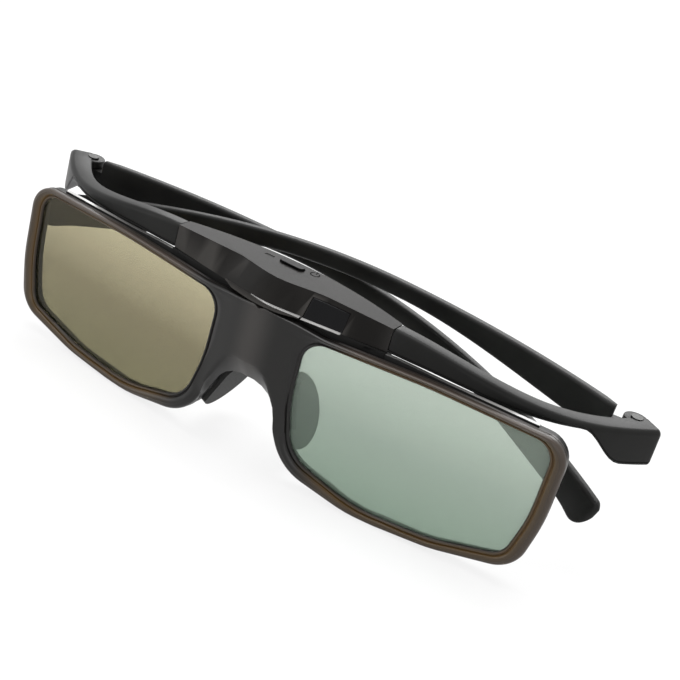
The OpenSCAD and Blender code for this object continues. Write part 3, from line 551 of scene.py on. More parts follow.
def arm_loops(way):
    loops = []
    for t in ARM_STATIONS:
        run = t * ARM_R * ARM_SWEEP
        shrink = rounding(ARM_R * ARM_SWEEP - run, END_ROUND) + rounding(run, SEAM_ROUND)
        top, foot = bar_section(arm_depth(t) - 2 * shrink)
        loop = []
        for inward, down in top:
            x, y = arm_spot(t, inward + shrink)
            loop.append(at(way * x, y, arm_top(x) - shrink - down))
        for inward, up in foot:
            x, y = arm_spot(t, inward + shrink)
            loop.append(at(way * x, y, arm_low(x) + shrink + up))
        loops.append(loop)
    return loops


print("arm stations:", len(ARM_STATIONS), "points in a section:", len(arm_loops(1)[0]))

# %% [markdown]
# The end block is slotted for the temple's knuckle. A boolean cuts the slot with a cylinder that
# leans as the hinge does, and a second cut makes room for the pin's head. Cutting faces out by hand
# would leave a ragged edge on the curved block. The cutter is removed at once: only its cut stays.

# %% Cutters
CYLINDER_SIDES, CYLINDER_BEVELS, CORNER_ANGLE = 48, 3, 1.0


def cylinder(bm, radius, low, high, matrix, bevel=0.0):
    made = bmesh.ops.create_cone(
        bm, cap_ends=True, segments=CYLINDER_SIDES, radius1=radius * MM, radius2=radius * MM,
        depth=(high - low) * MM, matrix=matrix @ Matrix.Translation((0, 0, (low + high) / 2 * MM)),
    )
    if bevel:
        edges = {edge for vert in made["verts"] for edge in vert.link_edges}
        bmesh.ops.bevel(
            bm, geom=[e for e in edges if e.calc_face_angle(0) > CORNER_ANGLE], offset=bevel * MM,
            affect="EDGES", segments=CYLINDER_BEVELS, profile=0.5, material=-1,
        )


def baked_mesh(piece):
    """The mesh of an object with its modifiers applied."""
    graph = bpy.context.evaluated_depsgraph_get()
    return bpy.data.meshes.new_from_object(piece.evaluated_get(graph))


def cut_away(bm, cutter):
    """Subtracts one closed mesh from another and returns the result."""
    blanks = []
    for source in (bm, cutter):
        bmesh.ops.recalc_face_normals(source, faces=source.faces)
        mesh = bpy.data.meshes.new("blank")
        source.to_mesh(mesh)
        source.free()
        blanks.append(bpy.data.objects.new("blank", mesh))
        bpy.context.scene.collection.objects.link(blanks[-1])
    body, tool = blanks
    cut = body.modifiers.new("slot", "BOOLEAN")
    cut.operation, cut.solver, cut.object = "DIFFERENCE", "EXACT", tool
    result = baked_mesh(body)
    out = bmesh.new()
    out.from_mesh(result)
    for blank in blanks:
        used = blank.data
        bpy.data.objects.remove(blank)
        bpy.data.meshes.remove(used)
    bpy.data.meshes.remove(result)
    return out


print("cutters have", CYLINDER_SIDES, "sides")

# %% [markdown]
# An arm is the swept bar with its slot, and two round ears above and below the slot that hold the
# pin. The ears are closed shells that run into the block, as a moulded lug does; joining them with
# a boolean would only add slivers where they meet the block's round back.

# %% The arms
KNUCKLE_R, KNUCKLE_H, KNUCKLE_CLEAR, SLOT_R = 3.0, 4.2, 0.2, 4.3
PIN_HEAD_R, PIN_SPAN, HEAD_CLEAR, HEAD_ROOM = 1.45, 8.4, 0.05, 12
EAR_INSET, EAR_BEVEL = 0.2, 0.25


def make_arm(side):
    hinge = hinge_matrix(side)
    half_gap = KNUCKLE_H / 2 + KNUCKLE_CLEAR
    arm = bmesh.new()
    sweep(arm, arm_loops(WAY[side]))
    cuts = ((SLOT_R, -half_gap, half_gap), (PIN_HEAD_R + HEAD_CLEAR, PIN_SPAN / 2, HEAD_ROOM))
    for radius, low, high in cuts:
        tool = bmesh.new()
        cylinder(tool, radius, low, high, hinge)
        arm = cut_away(arm, tool)
    ear_end = BLOCK_H / 2 - EAR_INSET
    for low, high in ((-ear_end, -half_gap), (half_gap, ear_end)):
        cylinder(arm, KNUCKLE_R, low, high, hinge, bevel=EAR_BEVEL)
    return finish_piece(arm, f"arm_{side}", "front", [f"{side}_arm"])


arms = [make_arm(side) for side in ("left", "right")]

# %% [markdown]
# A temple is a bowed bar that is tall at the hinge, slim in the middle and tall again at the ear,
# where it drops into a hook. Three formulas give its bow, its upper line and its lower line along
# the way. The stations crowd together at the tip, because the tip's round needs them there.

# %% The temples' curves
ROOT_X, ROOT_Y, TEMPLE_L, TEMPLE_T, TEMPLE_BOW = 5.0, 0.7, 159.0, 3.0, 16.79
CHORD = TEMPLE_L - ROOT_X
TEMPLE_R = (CHORD**2 / 4 + TEMPLE_BOW**2) / (2 * TEMPLE_BOW)
ROOT_H, MID_H, TIP_H = 8.4, 4.2, 8.4
HOOK_START, HOOK_DROP, FALL, ROOT_TOP = 64.0, 11.4, 0.0188, 5.5
SLIM_AT, SWELL_FROM, SWELL_TO = 64.0, 92.0, 147.0
TIP_LOW_R, TIP_TOP_R, TIP_LEAN = 5.0, 1.2, 2.5
TEMPLE_STEPS, TIP_STEPS = 52, 12


def temple_out(x):
    c = x - ROOT_X - CHORD / 2
    return ROOT_Y + TEMPLE_BOW - TEMPLE_R + math.sqrt(TEMPLE_R**2 - c * c)


def temple_line(x):
    t = max(0.0, x - HOOK_START) / (TEMPLE_L - HOOK_START)
    return ROOT_TOP - FALL * (x - ROOT_X) - HOOK_DROP * t * t


def temple_top(x):
    return temple_line(x) - rounding(TEMPLE_L - x, TIP_TOP_R)


def temple_low(x):
    tall = ROOT_H + (MID_H - ROOT_H) * smooth((x - ROOT_X) / (SLIM_AT - ROOT_X))
    tall += (TIP_H - MID_H) * smooth((x - SWELL_FROM) / (SWELL_TO - SWELL_FROM))
    return temple_line(x) - tall + rounding(TEMPLE_L - x, TIP_LOW_R)


stations = [ROOT_X + (CHORD - TIP_LOW_R) * k / TEMPLE_STEPS for k in range(TEMPLE_STEPS + 1)]
stations += [TEMPLE_L - TIP_LOW_R * (1 - math.sin(a)) for a in quarter_turn(TIP_STEPS)[1:]]
print("temple radius:", round(TEMPLE_R, 1), "stations:", len(stations))

# %% [markdown]
# The temple is swept in its own frame, with the hinge pin at zero, and then turned into its folded
# place with one matrix, so both temples come from the same numbers. Its edges are soft, and they
# close in at the tip and at the root. The knuckle and its neck are closed shells that run into it.

# %% The temples
TIP_CLOSE, ROOT_CLOSE, CLOSE_MOST = 1.3, 0.5, 1.2
SOFT_EDGE, SOFT_SHARE, SOFT_STEPS = 0.85, 0.42, 4
CORNERS = [(1, 1), (-1, 1), (-1, -1), (1, -1)]
NECK_IN, NECK_HALF, NECK_SLIM, NECK_SHORT, KNUCKLE_BEVEL = 1.5, 2, 0.3, 0.02, 0.2


def temple_section(x):
    top, low = temple_top(x), temple_low(x)
    lean = TIP_LEAN * smooth((x - SWELL_TO) / (TEMPLE_L - SWELL_TO))
    end = rounding(TEMPLE_L - x, TIP_CLOSE) + rounding(x - ROOT_X, ROOT_CLOSE)
    thick = TEMPLE_T - 2 * min(CLOSE_MOST, end)
    soft = min(SOFT_EDGE, thick * SOFT_SHARE)
    middle = temple_out(x) - TEMPLE_T / 2
    points = []
    for turn, (corner_y, corner_z) in enumerate(CORNERS):
        for a in quarter_turn(SOFT_STEPS):
            g = a + turn * math.pi / 2
            y = corner_y * (thick / 2 - soft) + soft * math.cos(g)
            z = corner_z * ((top - low) / 2 - soft) + soft * math.sin(g)
            down = (top - low) / 2 - z
            points.append(Vector((x - lean * down / TIP_H, middle + y, top - down)))
    return points


def make_temple(side):
    bm = bmesh.new()
    sweep(bm, [temple_section(x) for x in stations])
    half = KNUCKLE_H / 2
    cylinder(bm, KNUCKLE_R, -half, half, Matrix.Scale(1 / MM, 4), bevel=KNUCKLE_BEVEL)
    x, out = ROOT_X + NECK_IN, temple_out(ROOT_X + NECK_IN)
    neck = [(0, -NECK_HALF), (x, out - TEMPLE_T + NECK_SLIM), (x, out - NECK_SLIM), (0, NECK_HALF)]
    ends = (-half + NECK_SHORT, half - NECK_SHORT)
    sweep(bm, [[Vector((*place, z)) for place in neck] for z in ends])
    bmesh.ops.transform(bm, matrix=temple_matrix(side), verts=bm.verts)
    bmesh.ops.recalc_face_normals(bm, faces=bm.faces)
    node = f"{side}_temple"
    return finish_piece(bm, f"temple_{side}", node, [node])


temples = [make_temple(side) for side in ("left", "right")]

# %% [markdown]
# Each lens is three flat sheets: a polarizer, the liquid crystal cell and a second polarizer. Their
# solids are flat too, but their meshes are fans of thin triangles that leave streaks in the
# reflections. Two loops of the window's outline, swept once, give a clean sheet with one face in
# front and one behind.

# %% Lens sheets
SHEET_GROW, SHEET_AIR = 1.0, 0.01
SHEETS = {"front_polarizer": (0.0, 0.3), "shutter_cell": (0.3, 1.9), "rear_polarizer": (1.9, 2.2)}


def lens_sheet(side, node):
    bm = bmesh.new()
    front, rear = SHEETS[node]
    depths = (front + SHEET_AIR, rear - SHEET_AIR)
    sweep(bm, [[lens_point(i, SHEET_GROW, depth) for i in range(count)] for depth in depths])
    if side == "left":
        bmesh.ops.scale(bm, vec=(-1, 1, 1), verts=bm.verts)
        bmesh.ops.recalc_face_normals(bm, faces=bm.faces)
    name = f"{side}_{node}"
    return finish_piece(bm, f"{name}_sheet", "front", [name])


sheets = {(side, node): lens_sheet(side, node) for side in ("left", "right") for node in SHEETS}

# %% [markdown]
# The brow housing, the rear frame, the nose pad and the small controls already have the right
# shape as solids. A copy of each is merged, cleaned and bevelled, which gives the edges a moulded
# softness that catches light. Smooth shading would then bend the look of the flat faces beside a
# bevel, so the shading is weighted by the faces' area and baked into the mesh.

# %% Moulded copies
SAME_SPOT, FLAT = 2e-6, math.radians(2.0)


def softened(node, width, angle, segments):
    """A merged, cleaned and bevelled copy of a CAD node's mesh."""
    bm = bmesh.new()
    bm.from_mesh(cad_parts[node].data)
    bmesh.ops.remove_doubles(bm, verts=bm.verts, dist=SAME_SPOT)
    bmesh.ops.dissolve_limit(
        bm, angle_limit=FLAT, use_dissolve_boundaries=False, verts=bm.verts, edges=bm.edges
    )
    limit = math.radians(angle)
    edges = [e for e in bm.edges if e.is_manifold and e.calc_face_angle(0.0) > limit]
    bmesh.ops.bevel(
        bm, geom=edges, offset=width * MM, offset_type="OFFSET", affect="EDGES", segments=segments,
        profile=0.5, material=-1, clamp_overlap=True, loop_slide=True,
    )
    return bm


def evenly_shaded(piece):
    piece.modifiers.new("even_shading", "WEIGHTED_NORMAL").keep_sharp = True
    baked = baked_mesh(piece)
    piece.modifiers.clear()
    piece.data = baked
    return piece


def moulded(node, name, body, width, angle=28, segments=2, shape=None):
    bm = softened(node, width, angle, segments)
    if shape:
        shape(bm)
    return evenly_shaded(finish_piece(bm, name, body, [node]))


brow = moulded("brow_housing", "brow_shell", "front", 0.22, angle=24, segments=3)

# %% [markdown]
# The rear frame closes the lenses in from behind. Its openings are flared a little, more at the
# back, so that no dark rim shows through the lenses from an angle. Scaling the openings would shift
# their long sides more than their short ones, so each point moves along the line to its own partner
# on the rim. The nose pad, the sensor window, the button and the flap only need softer edges.

# %% The rear frame and the small pieces
FLARE_FROM, FLARE_TO, FLARE_LESS, FLARE_MORE, FLARE_NEAR = 2.0, 4.4, 1.05, 1.4, 0.7
QUAD = 4


def flare(bm):
    """Moves the walls of the lens openings outwards, more at the back."""
    bmesh.ops.triangulate(bm, faces=[f for f in bm.faces if len(f.verts) > QUAD])
    for vert in bm.verts:
        x, y = abs(vert.co.x) / MM, vert.co.y / MM + ORIGIN_BACK - BRIDGE_Y
        across = x * math.cos(WRAP) + y * math.sin(WRAP)
        depth = y * math.cos(WRAP) - x * math.sin(WRAP)
        here = Vector((across, vert.co.z / MM - FOOT_UP))
        i = min(range(count), key=lambda k: (window_line[k] - here).length_squared)
        beside = [window_line[k % count] for k in (i - 1, i, i + 1)]
        if depth < FLARE_FROM or nearest(here, beside) > FLARE_NEAR:
            continue
        share = min(1.0, (depth - FLARE_FROM) / (FLARE_TO - FLARE_FROM))
        far = FLARE_LESS + (FLARE_MORE - FLARE_LESS) * share
        way = (rim_line[i] - window_line[i]).normalized() * far * MM
        vert.co.x += way.x * math.cos(WRAP) * (1 if vert.co.x > 0 else -1)
        vert.co.y += way.x * math.sin(WRAP)
        vert.co.z += way.y


rear = moulded("rear_frame", "rear_shell", "front", 0.18, shape=flare)
pad = moulded("nose_pad", "nose_saddle", "front", 0.5, segments=3)
window = moulded(
    "sensor_window", "sensor_glass", "front", 0.3, angle=24, segments=3
)
button = moulded("power_button", "button_cap", "power_button", 0.2, segments=3)
flap = moulded("port_cover", "port_flap", "port_cover", 0.15)

# %% [markdown]
# A thin ledge runs along the top of each rim, behind the bezel and under the arm, and its top faces
# are painted light grey as a painted highlight. It follows the rim's own outline and is a little
# taller beside the brow. A bevel of the frame's edge would be too narrow to see.

# %% Ledges on the rims
LEDGE_UP, LEDGE_MORE, LEDGE_DOWN, LEDGE_FRONT, LEDGE_BACK = 0.45, 0.75, 0.3, 1.2, 2.3
LEDGE_FROM, LEDGE_TO, LEDGE_EASE = 24.0, 67.0, 16.0


def top_ledge(side):
    bm = bmesh.new()
    loops = []
    for p in (p for p in rim_line if LEDGE_FROM < p.x < LEDGE_TO and p.y > 0):
        up = p.y + LEDGE_UP + LEDGE_MORE * smooth(1 - (p.x - HALF_BROW) / LEDGE_EASE)
        low = p.y - LEDGE_DOWN
        section = [(LEDGE_FRONT, low), (LEDGE_FRONT, up), (LEDGE_BACK, up), (LEDGE_BACK, low)]
        loops.append([on_lens(p.x, v, z) for v, z in section])
    sweep(bm, loops)
    bmesh.ops.scale(bm, vec=(WAY[side], 1, 1), verts=bm.verts)
    bmesh.ops.recalc_face_normals(bm, faces=bm.faces)
    return finish_piece(bm, f"top_ledge_{side}", "front")


ledges = [top_ledge(side) for side in ("left", "right")]

# %% [markdown]
# A shelf slopes from the brow's lower front edge to the top of the bridge. A thin lip, light grey
# as a painted highlight, grows out of it towards the sensor window, and a second such lip lies
# under the window. Straight strips would leave the brow's bent edge, so all three are one sweep
# along that edge with another width, height and taper.

# %% Shelf and lips under the brow
LOW_BULGE, NOSE_R = 5.9, 3.0
LIP_UP, LIP_IN, LIP_SHORT, LIP_LEAST, LIP_EDGE = 0.3, 0.4, 0.3, 0.55, 0.12
LIP_SHRINK, SHRINK_FROM, SHRINK_RUN, LIP_STEPS, LIP_BEGIN = 0.65, 4.0, 6.0, 24, 0.5
ANY_WIDTH = 9.0
LIPS = {
    "bridge_shelf": {"start": -12.0, "stop": 8.7, "widest": ANY_WIDTH, "raised": 0.0, "taper": 4.0},
    "brow_lip": {"start": -4.0, "stop": 8.7, "widest": 0.5, "raised": 0.15, "taper": 8.0},
    "sensor_lip": {
        "start": 9.15, "stop": 18.3, "widest": ANY_WIDTH, "raised": 0.0, "taper": LIP_BEGIN
    },
}


def brow_low_y(x):
    return BROW_FRONT - LOW_BULGE * (1 - math.hypot(x, NOSE_R) / math.hypot(HALF_BROW, NOSE_R))


def brow_lip(name, start, stop, widest, raised, taper):
    bm = bmesh.new()
    loops = []
    up, edge = BROW_LOW + LIP_UP + raised, BROW_LOW + LIP_EDGE + raised
    for k in range(LIP_STEPS + 1):
        x = start + (stop - start) * k / LIP_STEPS
        y = brow_low_y(x)
        out = y - bridge_front(x, BRIDGE_TOP - TOP_ROUND) - LIP_SHORT
        out = max(LIP_LEAST, out * (1 - LIP_SHRINK * smooth((x - SHRINK_FROM) / SHRINK_RUN)))
        out = min(out, widest) * smooth((x - start + LIP_BEGIN) / taper)
        section = [(LIP_IN, BROW_LOW), (-out, BROW_LOW), (-out, edge), (0.0, up), (LIP_IN, up)]
        loops.append([at(x, y + dy, z) for dy, z in section])
    sweep(bm, loops)
    return finish_piece(bm, name, "front")


lips = {name: brow_lip(name, **form) for name, form in LIPS.items()}

# %% [markdown]
# The power mark is printed on the brow: an open ring and a short bar. A short edge is spun into the
# ring as a flat strip and a thin bar is laid in its gap, both a hair above the plastic. A texture
# could carry it, but a mesh stays crisp at any distance.

# %% The printed power mark
MARK_X, MARK_Y = 3.9, 8.0
MARK_R, MARK_W, MARK_T, MARK_STEPS = 1.05, 0.3, 0.03, 40
MARK_GAP = math.radians(64)
BAR_FROM, BAR_TO = 0.35, 1.45


def power_mark():
    bm = bmesh.new()
    top, half = BROW_TOP + MARK_T, MARK_W / 2
    start = math.pi / 2 + MARK_GAP / 2
    ends = [
        bm.verts.new(at(MARK_X + r * math.cos(start), MARK_Y + r * math.sin(start), top))
        for r in (MARK_R - half, MARK_R + half)
    ]
    edge = bm.edges.new(ends)
    bmesh.ops.spin(
        bm, geom=[*ends, edge], cent=at(MARK_X, MARK_Y, top), axis=(0, 0, 1),
        angle=2 * math.pi - MARK_GAP, steps=MARK_STEPS,
    )
    bar = [(-half, BAR_FROM), (half, BAR_FROM), (half, BAR_TO), (-half, BAR_TO)]
    bm.faces.new([bm.verts.new(at(MARK_X + x, MARK_Y + y, top)) for x, y in bar])
    bmesh.ops.recalc_face_normals(bm, faces=bm.faces)
    bmesh.ops.solidify(bm, geom=bm.faces, thickness=MARK_T * MM)
    bmesh.ops.recalc_face_normals(bm, faces=bm.faces)
    return finish_piece(bm, "power_mark", "front")


mark = power_mark()

# %% [markdown]
# Finishes. A few helpers add the nodes that come back in every material: noise on object
# coordinates, a colour ramp, a change of range and one axis of the object. They keep each material
# short enough to read as a recipe.

# %% Node helpers
def new_material(name):
    material = bpy.data.materials.new(name)
    material.use_nodes = True
    return material, material.node_tree, material.node_tree.nodes["Principled BSDF"]


def noise_on(tree, scale, detail=3.0):
    coords = tree.nodes.new("ShaderNodeTexCoord")
    noise = tree.nodes.new("ShaderNodeTexNoise")
    noise.inputs["Scale"].default_value = scale
    noise.inputs["Detail"].default_value = detail
    tree.links.new(coords.outputs["Object"], noise.inputs["Vector"])
    return noise.outputs["Fac"]


def axis_on(tree, axis):
    coords = tree.nodes.new("ShaderNodeTexCoord")
    apart = tree.nodes.new("ShaderNodeSeparateXYZ")
    tree.links.new(coords.outputs["Object"], apart.inputs["Vector"])
    return apart.outputs[axis]


def ramp_on(tree, source, stops):
    ramp = tree.nodes.new("ShaderNodeValToRGB")
    while len(ramp.color_ramp.elements) < len(stops):
        ramp.color_ramp.elements.new(0.5)
    for element, (place, colour) in zip(ramp.color_ramp.elements, stops):
        element.position = place
        element.color = (*colour, 1)
    tree.links.new(source, ramp.inputs["Fac"])
    return ramp.outputs["Color"]


def range_on(tree, source, start=0.0, stop=1.0, low=0.0, high=1.0, soft=False):
    spread = tree.nodes.new("ShaderNodeMapRange")
    spread.interpolation_type = "SMOOTHSTEP" if soft else "LINEAR"
    values = {"From Min": start, "From Max": stop, "To Min": low, "To Max": high}
    for socket, value in values.items():
        spread.inputs[socket].default_value = value
    tree.links.new(source, spread.inputs["Value"])
    return spread.outputs["Result"]


def scaled(colour, factor):
    return tuple(c * factor for c in colour)


print("a colour at half strength:", scaled((0.2, 0.2, 0.2), 0.5))

# %% [markdown]
# Moulded plastic is never one flat colour: a fine grain breaks up the gloss, slow noise shifts the
# tone a little, and edges are lighter, partly as rubbed wear and partly as a painted highlight
# along them. The lighter edges come from the mesh's own convexity.
# A painted mask would do it too, but it would need an unwrapped map for every piece.

# %% A moulded plastic
SLOW_SCALE, SLOW_LOW, SLOW_HIGH = 60, 0.35, 0.65
GRAIN_SCALE, GRAIN_DETAIL, GRAIN_HEIGHT, GLOSS_SHIFT = 2600, 2.0, 0.0001, 0.15
RUB_FROM, RUB_FULL, RUB_MOST = 0.52, 0.62, 0.5


def lighten_edges_wear_and_highlight(tree, colour_socket, edge_wear_and_highlight):
    """Mixes a lighter colour in where the surface is most convex: rubbed wear and a painted edge
    highlight.
    """
    convex = tree.nodes.new("ShaderNodeNewGeometry").outputs["Pointiness"]
    mix = tree.nodes.new("ShaderNodeMix")
    mix.data_type = "RGBA"
    edge = ramp_on(tree, convex, [(RUB_FROM, (0, 0, 0)), (RUB_FULL, (RUB_MOST,) * 3)])
    tree.links.new(edge, mix.inputs["Factor"])
    tree.links.new(colour_socket, mix.inputs["A"])
    mix.inputs["B"].default_value = (*edge_wear_and_highlight, 1)
    return mix.outputs["Result"]


def plastic(name, colour, rough, bump=0.05, shift=0.25, specular=0.35, edge_wear_and_highlight=None, coat=0.0):
    material, tree, shader = new_material(name)
    stops = [(SLOW_LOW, scaled(colour, 1 - shift)), (SLOW_HIGH, scaled(colour, 1 + shift))]
    tone = ramp_on(tree, noise_on(tree, SLOW_SCALE), stops)
    tone = lighten_edges_wear_and_highlight(tree, tone, edge_wear_and_highlight) if edge_wear_and_highlight else tone
    tree.links.new(tone, shader.inputs["Base Color"])
    fine = noise_on(tree, GRAIN_SCALE, GRAIN_DETAIL)
    low, high = rough * (1 - GLOSS_SHIFT), rough * (1 + GLOSS_SHIFT)
    tree.links.new(range_on(tree, fine, low=low, high=high), shader.inputs["Roughness"])
    relief = tree.nodes.new("ShaderNodeBump")
    relief.inputs["Strength"].default_value = bump
    relief.inputs["Distance"].default_value = GRAIN_HEIGHT
    tree.links.new(fine, relief.inputs["Height"])
    tree.links.new(relief.outputs["Normal"], shader.inputs["Normal"])
    shader.inputs["Specular IOR Level"].default_value = specular
    shader.inputs["Coat Weight"].default_value = coat
    return material


BLACK, BROW_TONE = (0.012, 0.012, 0.0115), (0.009, 0.0082, 0.0075)
# The lighter edge colours stand for rubbed wear and a painted highlight along the edges.
BLACK_EDGE_WEAR_AND_HIGHLIGHT, BROW_EDGE_WEAR_AND_HIGHLIGHT = (0.024, 0.024, 0.024), (0.07, 0.066, 0.062)
matte_black = plastic("matte_black", BLACK, 0.36, specular=0.09, edge_wear_and_highlight=BLACK_EDGE_WEAR_AND_HIGHLIGHT)
brow_grey = plastic("brow_grey", BROW_TONE, 0.32, specular=0.09, edge_wear_and_highlight=BROW_EDGE_WEAR_AND_HIGHLIGHT)
brow_satin = plastic("brow_satin", BROW_TONE, 0.38, specular=0.05)
# A light grey painted highlight, worn by the lips and by the ledges' tops.
painted_highlight_grey = plastic("painted_highlight_grey", (0.26, 0.255, 0.25), 0.22, specular=0.5)
rubber = plastic("soft_rubber", (0.02, 0.02, 0.019), 0.62, bump=0.1, specular=0.2)
button_black = plastic("button_finish", (0.005, 0.005, 0.005), 0.36, specular=0.04)
glass_black = plastic("sensor_gloss", (0.003, 0.003, 0.0035), 0.12, bump=0.0, specular=0.14)
print_dark = plastic("print_dark", (0.003, 0.003, 0.003), 0.6, specular=0.01)
print("plastics:", len([m for m in bpy.data.materials if m.use_nodes]))

# %% [markdown]
# Each piece now wears its plastic. Two kinds of piece wear a second one on the faces that look up:
# the brow's top is more satin than its front, and the top of a ledge is painted light grey as a
# painted highlight. A split by the faces' direction needs no extra piece and follows the shape by
# itself.

# %% Plastics on the pieces
BROW_FACING, LEDGE_HIGHLIGHT_FACING = 0.98, 0.7


def wear(material, *pieces):
    for piece in pieces:
        piece.data.materials.clear()
        piece.data.materials.append(material)


def wear_on_top(material, piece, facing):
    """Gives the faces that look up a second material, such as a painted highlight on a ledge."""
    piece.data.materials.append(material)
    for polygon in piece.data.polygons:
        polygon.material_index = int(polygon.normal.z > facing)


wear(matte_black, *arms, *temples, rear, *ledges)
wear(brow_grey, brow, lips["bridge_shelf"])
# The two lips are light grey all over, a painted highlight.
wear(painted_highlight_grey, lips["brow_lip"], lips["sensor_lip"])
wear(rubber, pad, flap)
wear(button_black, button)
wear(glass_black, window)
wear(print_dark, mark)
wear_on_top(brow_satin, brow, BROW_FACING)
# The ledges' top faces get the light grey, a painted highlight.
for ledge in ledges:
    wear_on_top(painted_highlight_grey, ledge, LEDGE_HIGHLIGHT_FACING)
print("brow faces that look up:", sum(p.material_index for p in brow.data.polygons))

# %% [markdown]
# The bezel is smoke-brown plastic that lets a little light through. The band number that each row
# of the rim kept picks the tone from a ramp: black in the gap at the lens, bronze on the ring, an
# orange band that is a painted glow of light shining through the thin plastic, and grey at the
# outer edge. Towards the nose the brown gives way to near black, with a painted highlight down the
# middle of the bridge.

# %% The smoked bezel
# The middle of the bridge gets a painted highlight: a lighter colour over a set half width.
NOSE_DARK, RIM_BROWN, CREST_HIGHLIGHT_HALF = 0.0155, 0.027, 0.006
CREST_HIGHLIGHT, FLANK = (0.034, 0.031, 0.029), (0.007, 0.0065, 0.006)
BEZEL_GRAIN, BEZEL_ROUGH, BEZEL_SPECULAR = 1800, (0.27, 0.36), 0.3
# The orange at row 8.5 is a painted glow of light through the thin plastic; the other rows are the
# plastic's own tones.
ROW_TONES_AND_GLOW = [
    (0, (0.004, 0.003, 0.002)), (1.5, (0.01, 0.006, 0.003)), (4, (0.060, 0.040, 0.022)),
    (8.5, (0.095, 0.055, 0.018)), (11, (0.050, 0.034, 0.018)), (14, (0.040, 0.029, 0.020)),
    (17, (0.055, 0.042, 0.033)), (21, (0.025, 0.021, 0.018)),
]


def smoked_bezel_glow_and_highlight():
    material, tree, shader = new_material("smoked_brown_glow_and_highlight")
    attribute = tree.nodes.new("ShaderNodeAttribute")
    attribute.attribute_name = "rim_band"
    stops = [(row / (len(rows) - 1), colour) for row, colour in ROW_TONES_AND_GLOW]
    brown = ramp_on(tree, attribute.outputs["Fac"], stops)
    away = tree.nodes.new("ShaderNodeMath")
    away.operation = "ABSOLUTE"
    tree.links.new(axis_on(tree, "X"), away.inputs[0])
    aside = away.outputs["Value"]
    # Painted highlight: lighter along the middle of the bridge, near black on the flanks.
    crest_highlight_mask = range_on(tree, aside, stop=CREST_HIGHLIGHT_HALF, soft=True)
    nose_tone_and_highlight = ramp_on(tree, crest_highlight_mask, [(0.0, CREST_HIGHLIGHT), (1.0, FLANK)])
    mix = tree.nodes.new("ShaderNodeMix")
    mix.data_type = "RGBA"
    fade = range_on(tree, aside, start=NOSE_DARK, stop=RIM_BROWN, soft=True)
    tree.links.new(fade, mix.inputs["Factor"])
    tree.links.new(nose_tone_and_highlight, mix.inputs["A"])
    tree.links.new(brown, mix.inputs["B"])
    tree.links.new(mix.outputs["Result"], shader.inputs["Base Color"])
    fine = noise_on(tree, BEZEL_GRAIN, GRAIN_DETAIL)
    low, high = BEZEL_ROUGH
    tree.links.new(range_on(tree, fine, low=low, high=high), shader.inputs["Roughness"])
    shader.inputs["Specular IOR Level"].default_value = BEZEL_SPECULAR
    return material


wear(smoked_bezel_glow_and_highlight(), front_piece)
print("tones across the rim:", len(ROW_TONES_AND_GLOW))

# %% [markdown]
# The lenses are tinted sheets, khaki on the left and grey-green on the right. Most of the light
# goes through the front sheet, so that a temple or the nose pad behind shows as a darker shape. The
# colour gets lighter towards the top, which is a painted reflection. The cell and the rear sheet
# stay nearly clear, or the three layers would add up to a much darker lens.

# %% The lenses
REFLECTION_FROM_Z, REFLECTION_TO_Z = 0.003, 0.037
LENS_IOR, LENS_SPECULAR = 1.25, 0.5
CELL_ALPHA, FILM_ALPHA, LAYER_ROUGH, LAYER_SCALE = 0.015, 0.03, 0.1, 40
# Each ramp is the lens tint, made lighter towards the top as a painted reflection.
KHAKI_AND_REFLECTION = [(0.0, (0.21, 0.195, 0.11)), (0.5, (0.235, 0.21, 0.128)), (1.0, (0.47, 0.425, 0.28))]
GREEN_AND_REFLECTION = [(0.0, (0.30, 0.39, 0.315)), (0.5, (0.375, 0.45, 0.385)), (1.0, (0.53, 0.605, 0.53))]
LAYER_TONES = {"left": (0.30, 0.28, 0.19), "right": (0.32, 0.38, 0.33)}


def lens_tint_and_reflection(name, stops, transmission):
    material, tree, shader = new_material(name)
    # Lighter towards the top: a painted reflection.
    height = range_on(tree, axis_on(tree, "Z"), start=REFLECTION_FROM_Z, stop=REFLECTION_TO_Z)
    tree.links.new(ramp_on(tree, height, stops), shader.inputs["Base Color"])
    shader.inputs["Roughness"].default_value = 0.0
    shader.inputs["IOR"].default_value = LENS_IOR
    shader.inputs["Transmission Weight"].default_value = transmission
    shader.inputs["Specular IOR Level"].default_value = LENS_SPECULAR
    return material


def clear_layer(name, colour, alpha):
    material, tree, shader = new_material(name)
    stops = [(0.4, scaled(colour, 0.95)), (0.6, colour)]
    tone = ramp_on(tree, noise_on(tree, LAYER_SCALE), stops)
    tree.links.new(tone, shader.inputs["Base Color"])
    shader.inputs["Roughness"].default_value = LAYER_ROUGH
    shader.inputs["Alpha"].default_value = alpha
    return material


wear(lens_tint_and_reflection("khaki_sheet", KHAKI_AND_REFLECTION, transmission=0.95), sheets["left", "front_polarizer"])
wear(lens_tint_and_reflection("grey_green_sheet", GREEN_AND_REFLECTION, transmission=0.78), sheets["right", "front_polarizer"])
for side, colour in LAYER_TONES.items():
    wear(clear_layer(f"{side}_cell_glass", colour, CELL_ALPHA), sheets[side, "shutter_cell"])
    wear(clear_layer(f"{side}_rear_film", colour, FILM_ALPHA), sheets[side, "rear_polarizer"])
print("lens sheets:", len(sheets))

# %% [markdown]
# The inner parts are seldom seen, but each keeps a finish of its own: brushed steel for pins and
# screws, green varnish for the board, foil for the battery and amber film for the flat cables. They
# are worn by the solids themselves, which need no new shape.

# %% Inner parts
METAL_GRAIN, METAL_DETAIL, METAL_DARK, METAL_SHIFT = 3000, 4.0, 0.85, 0.3


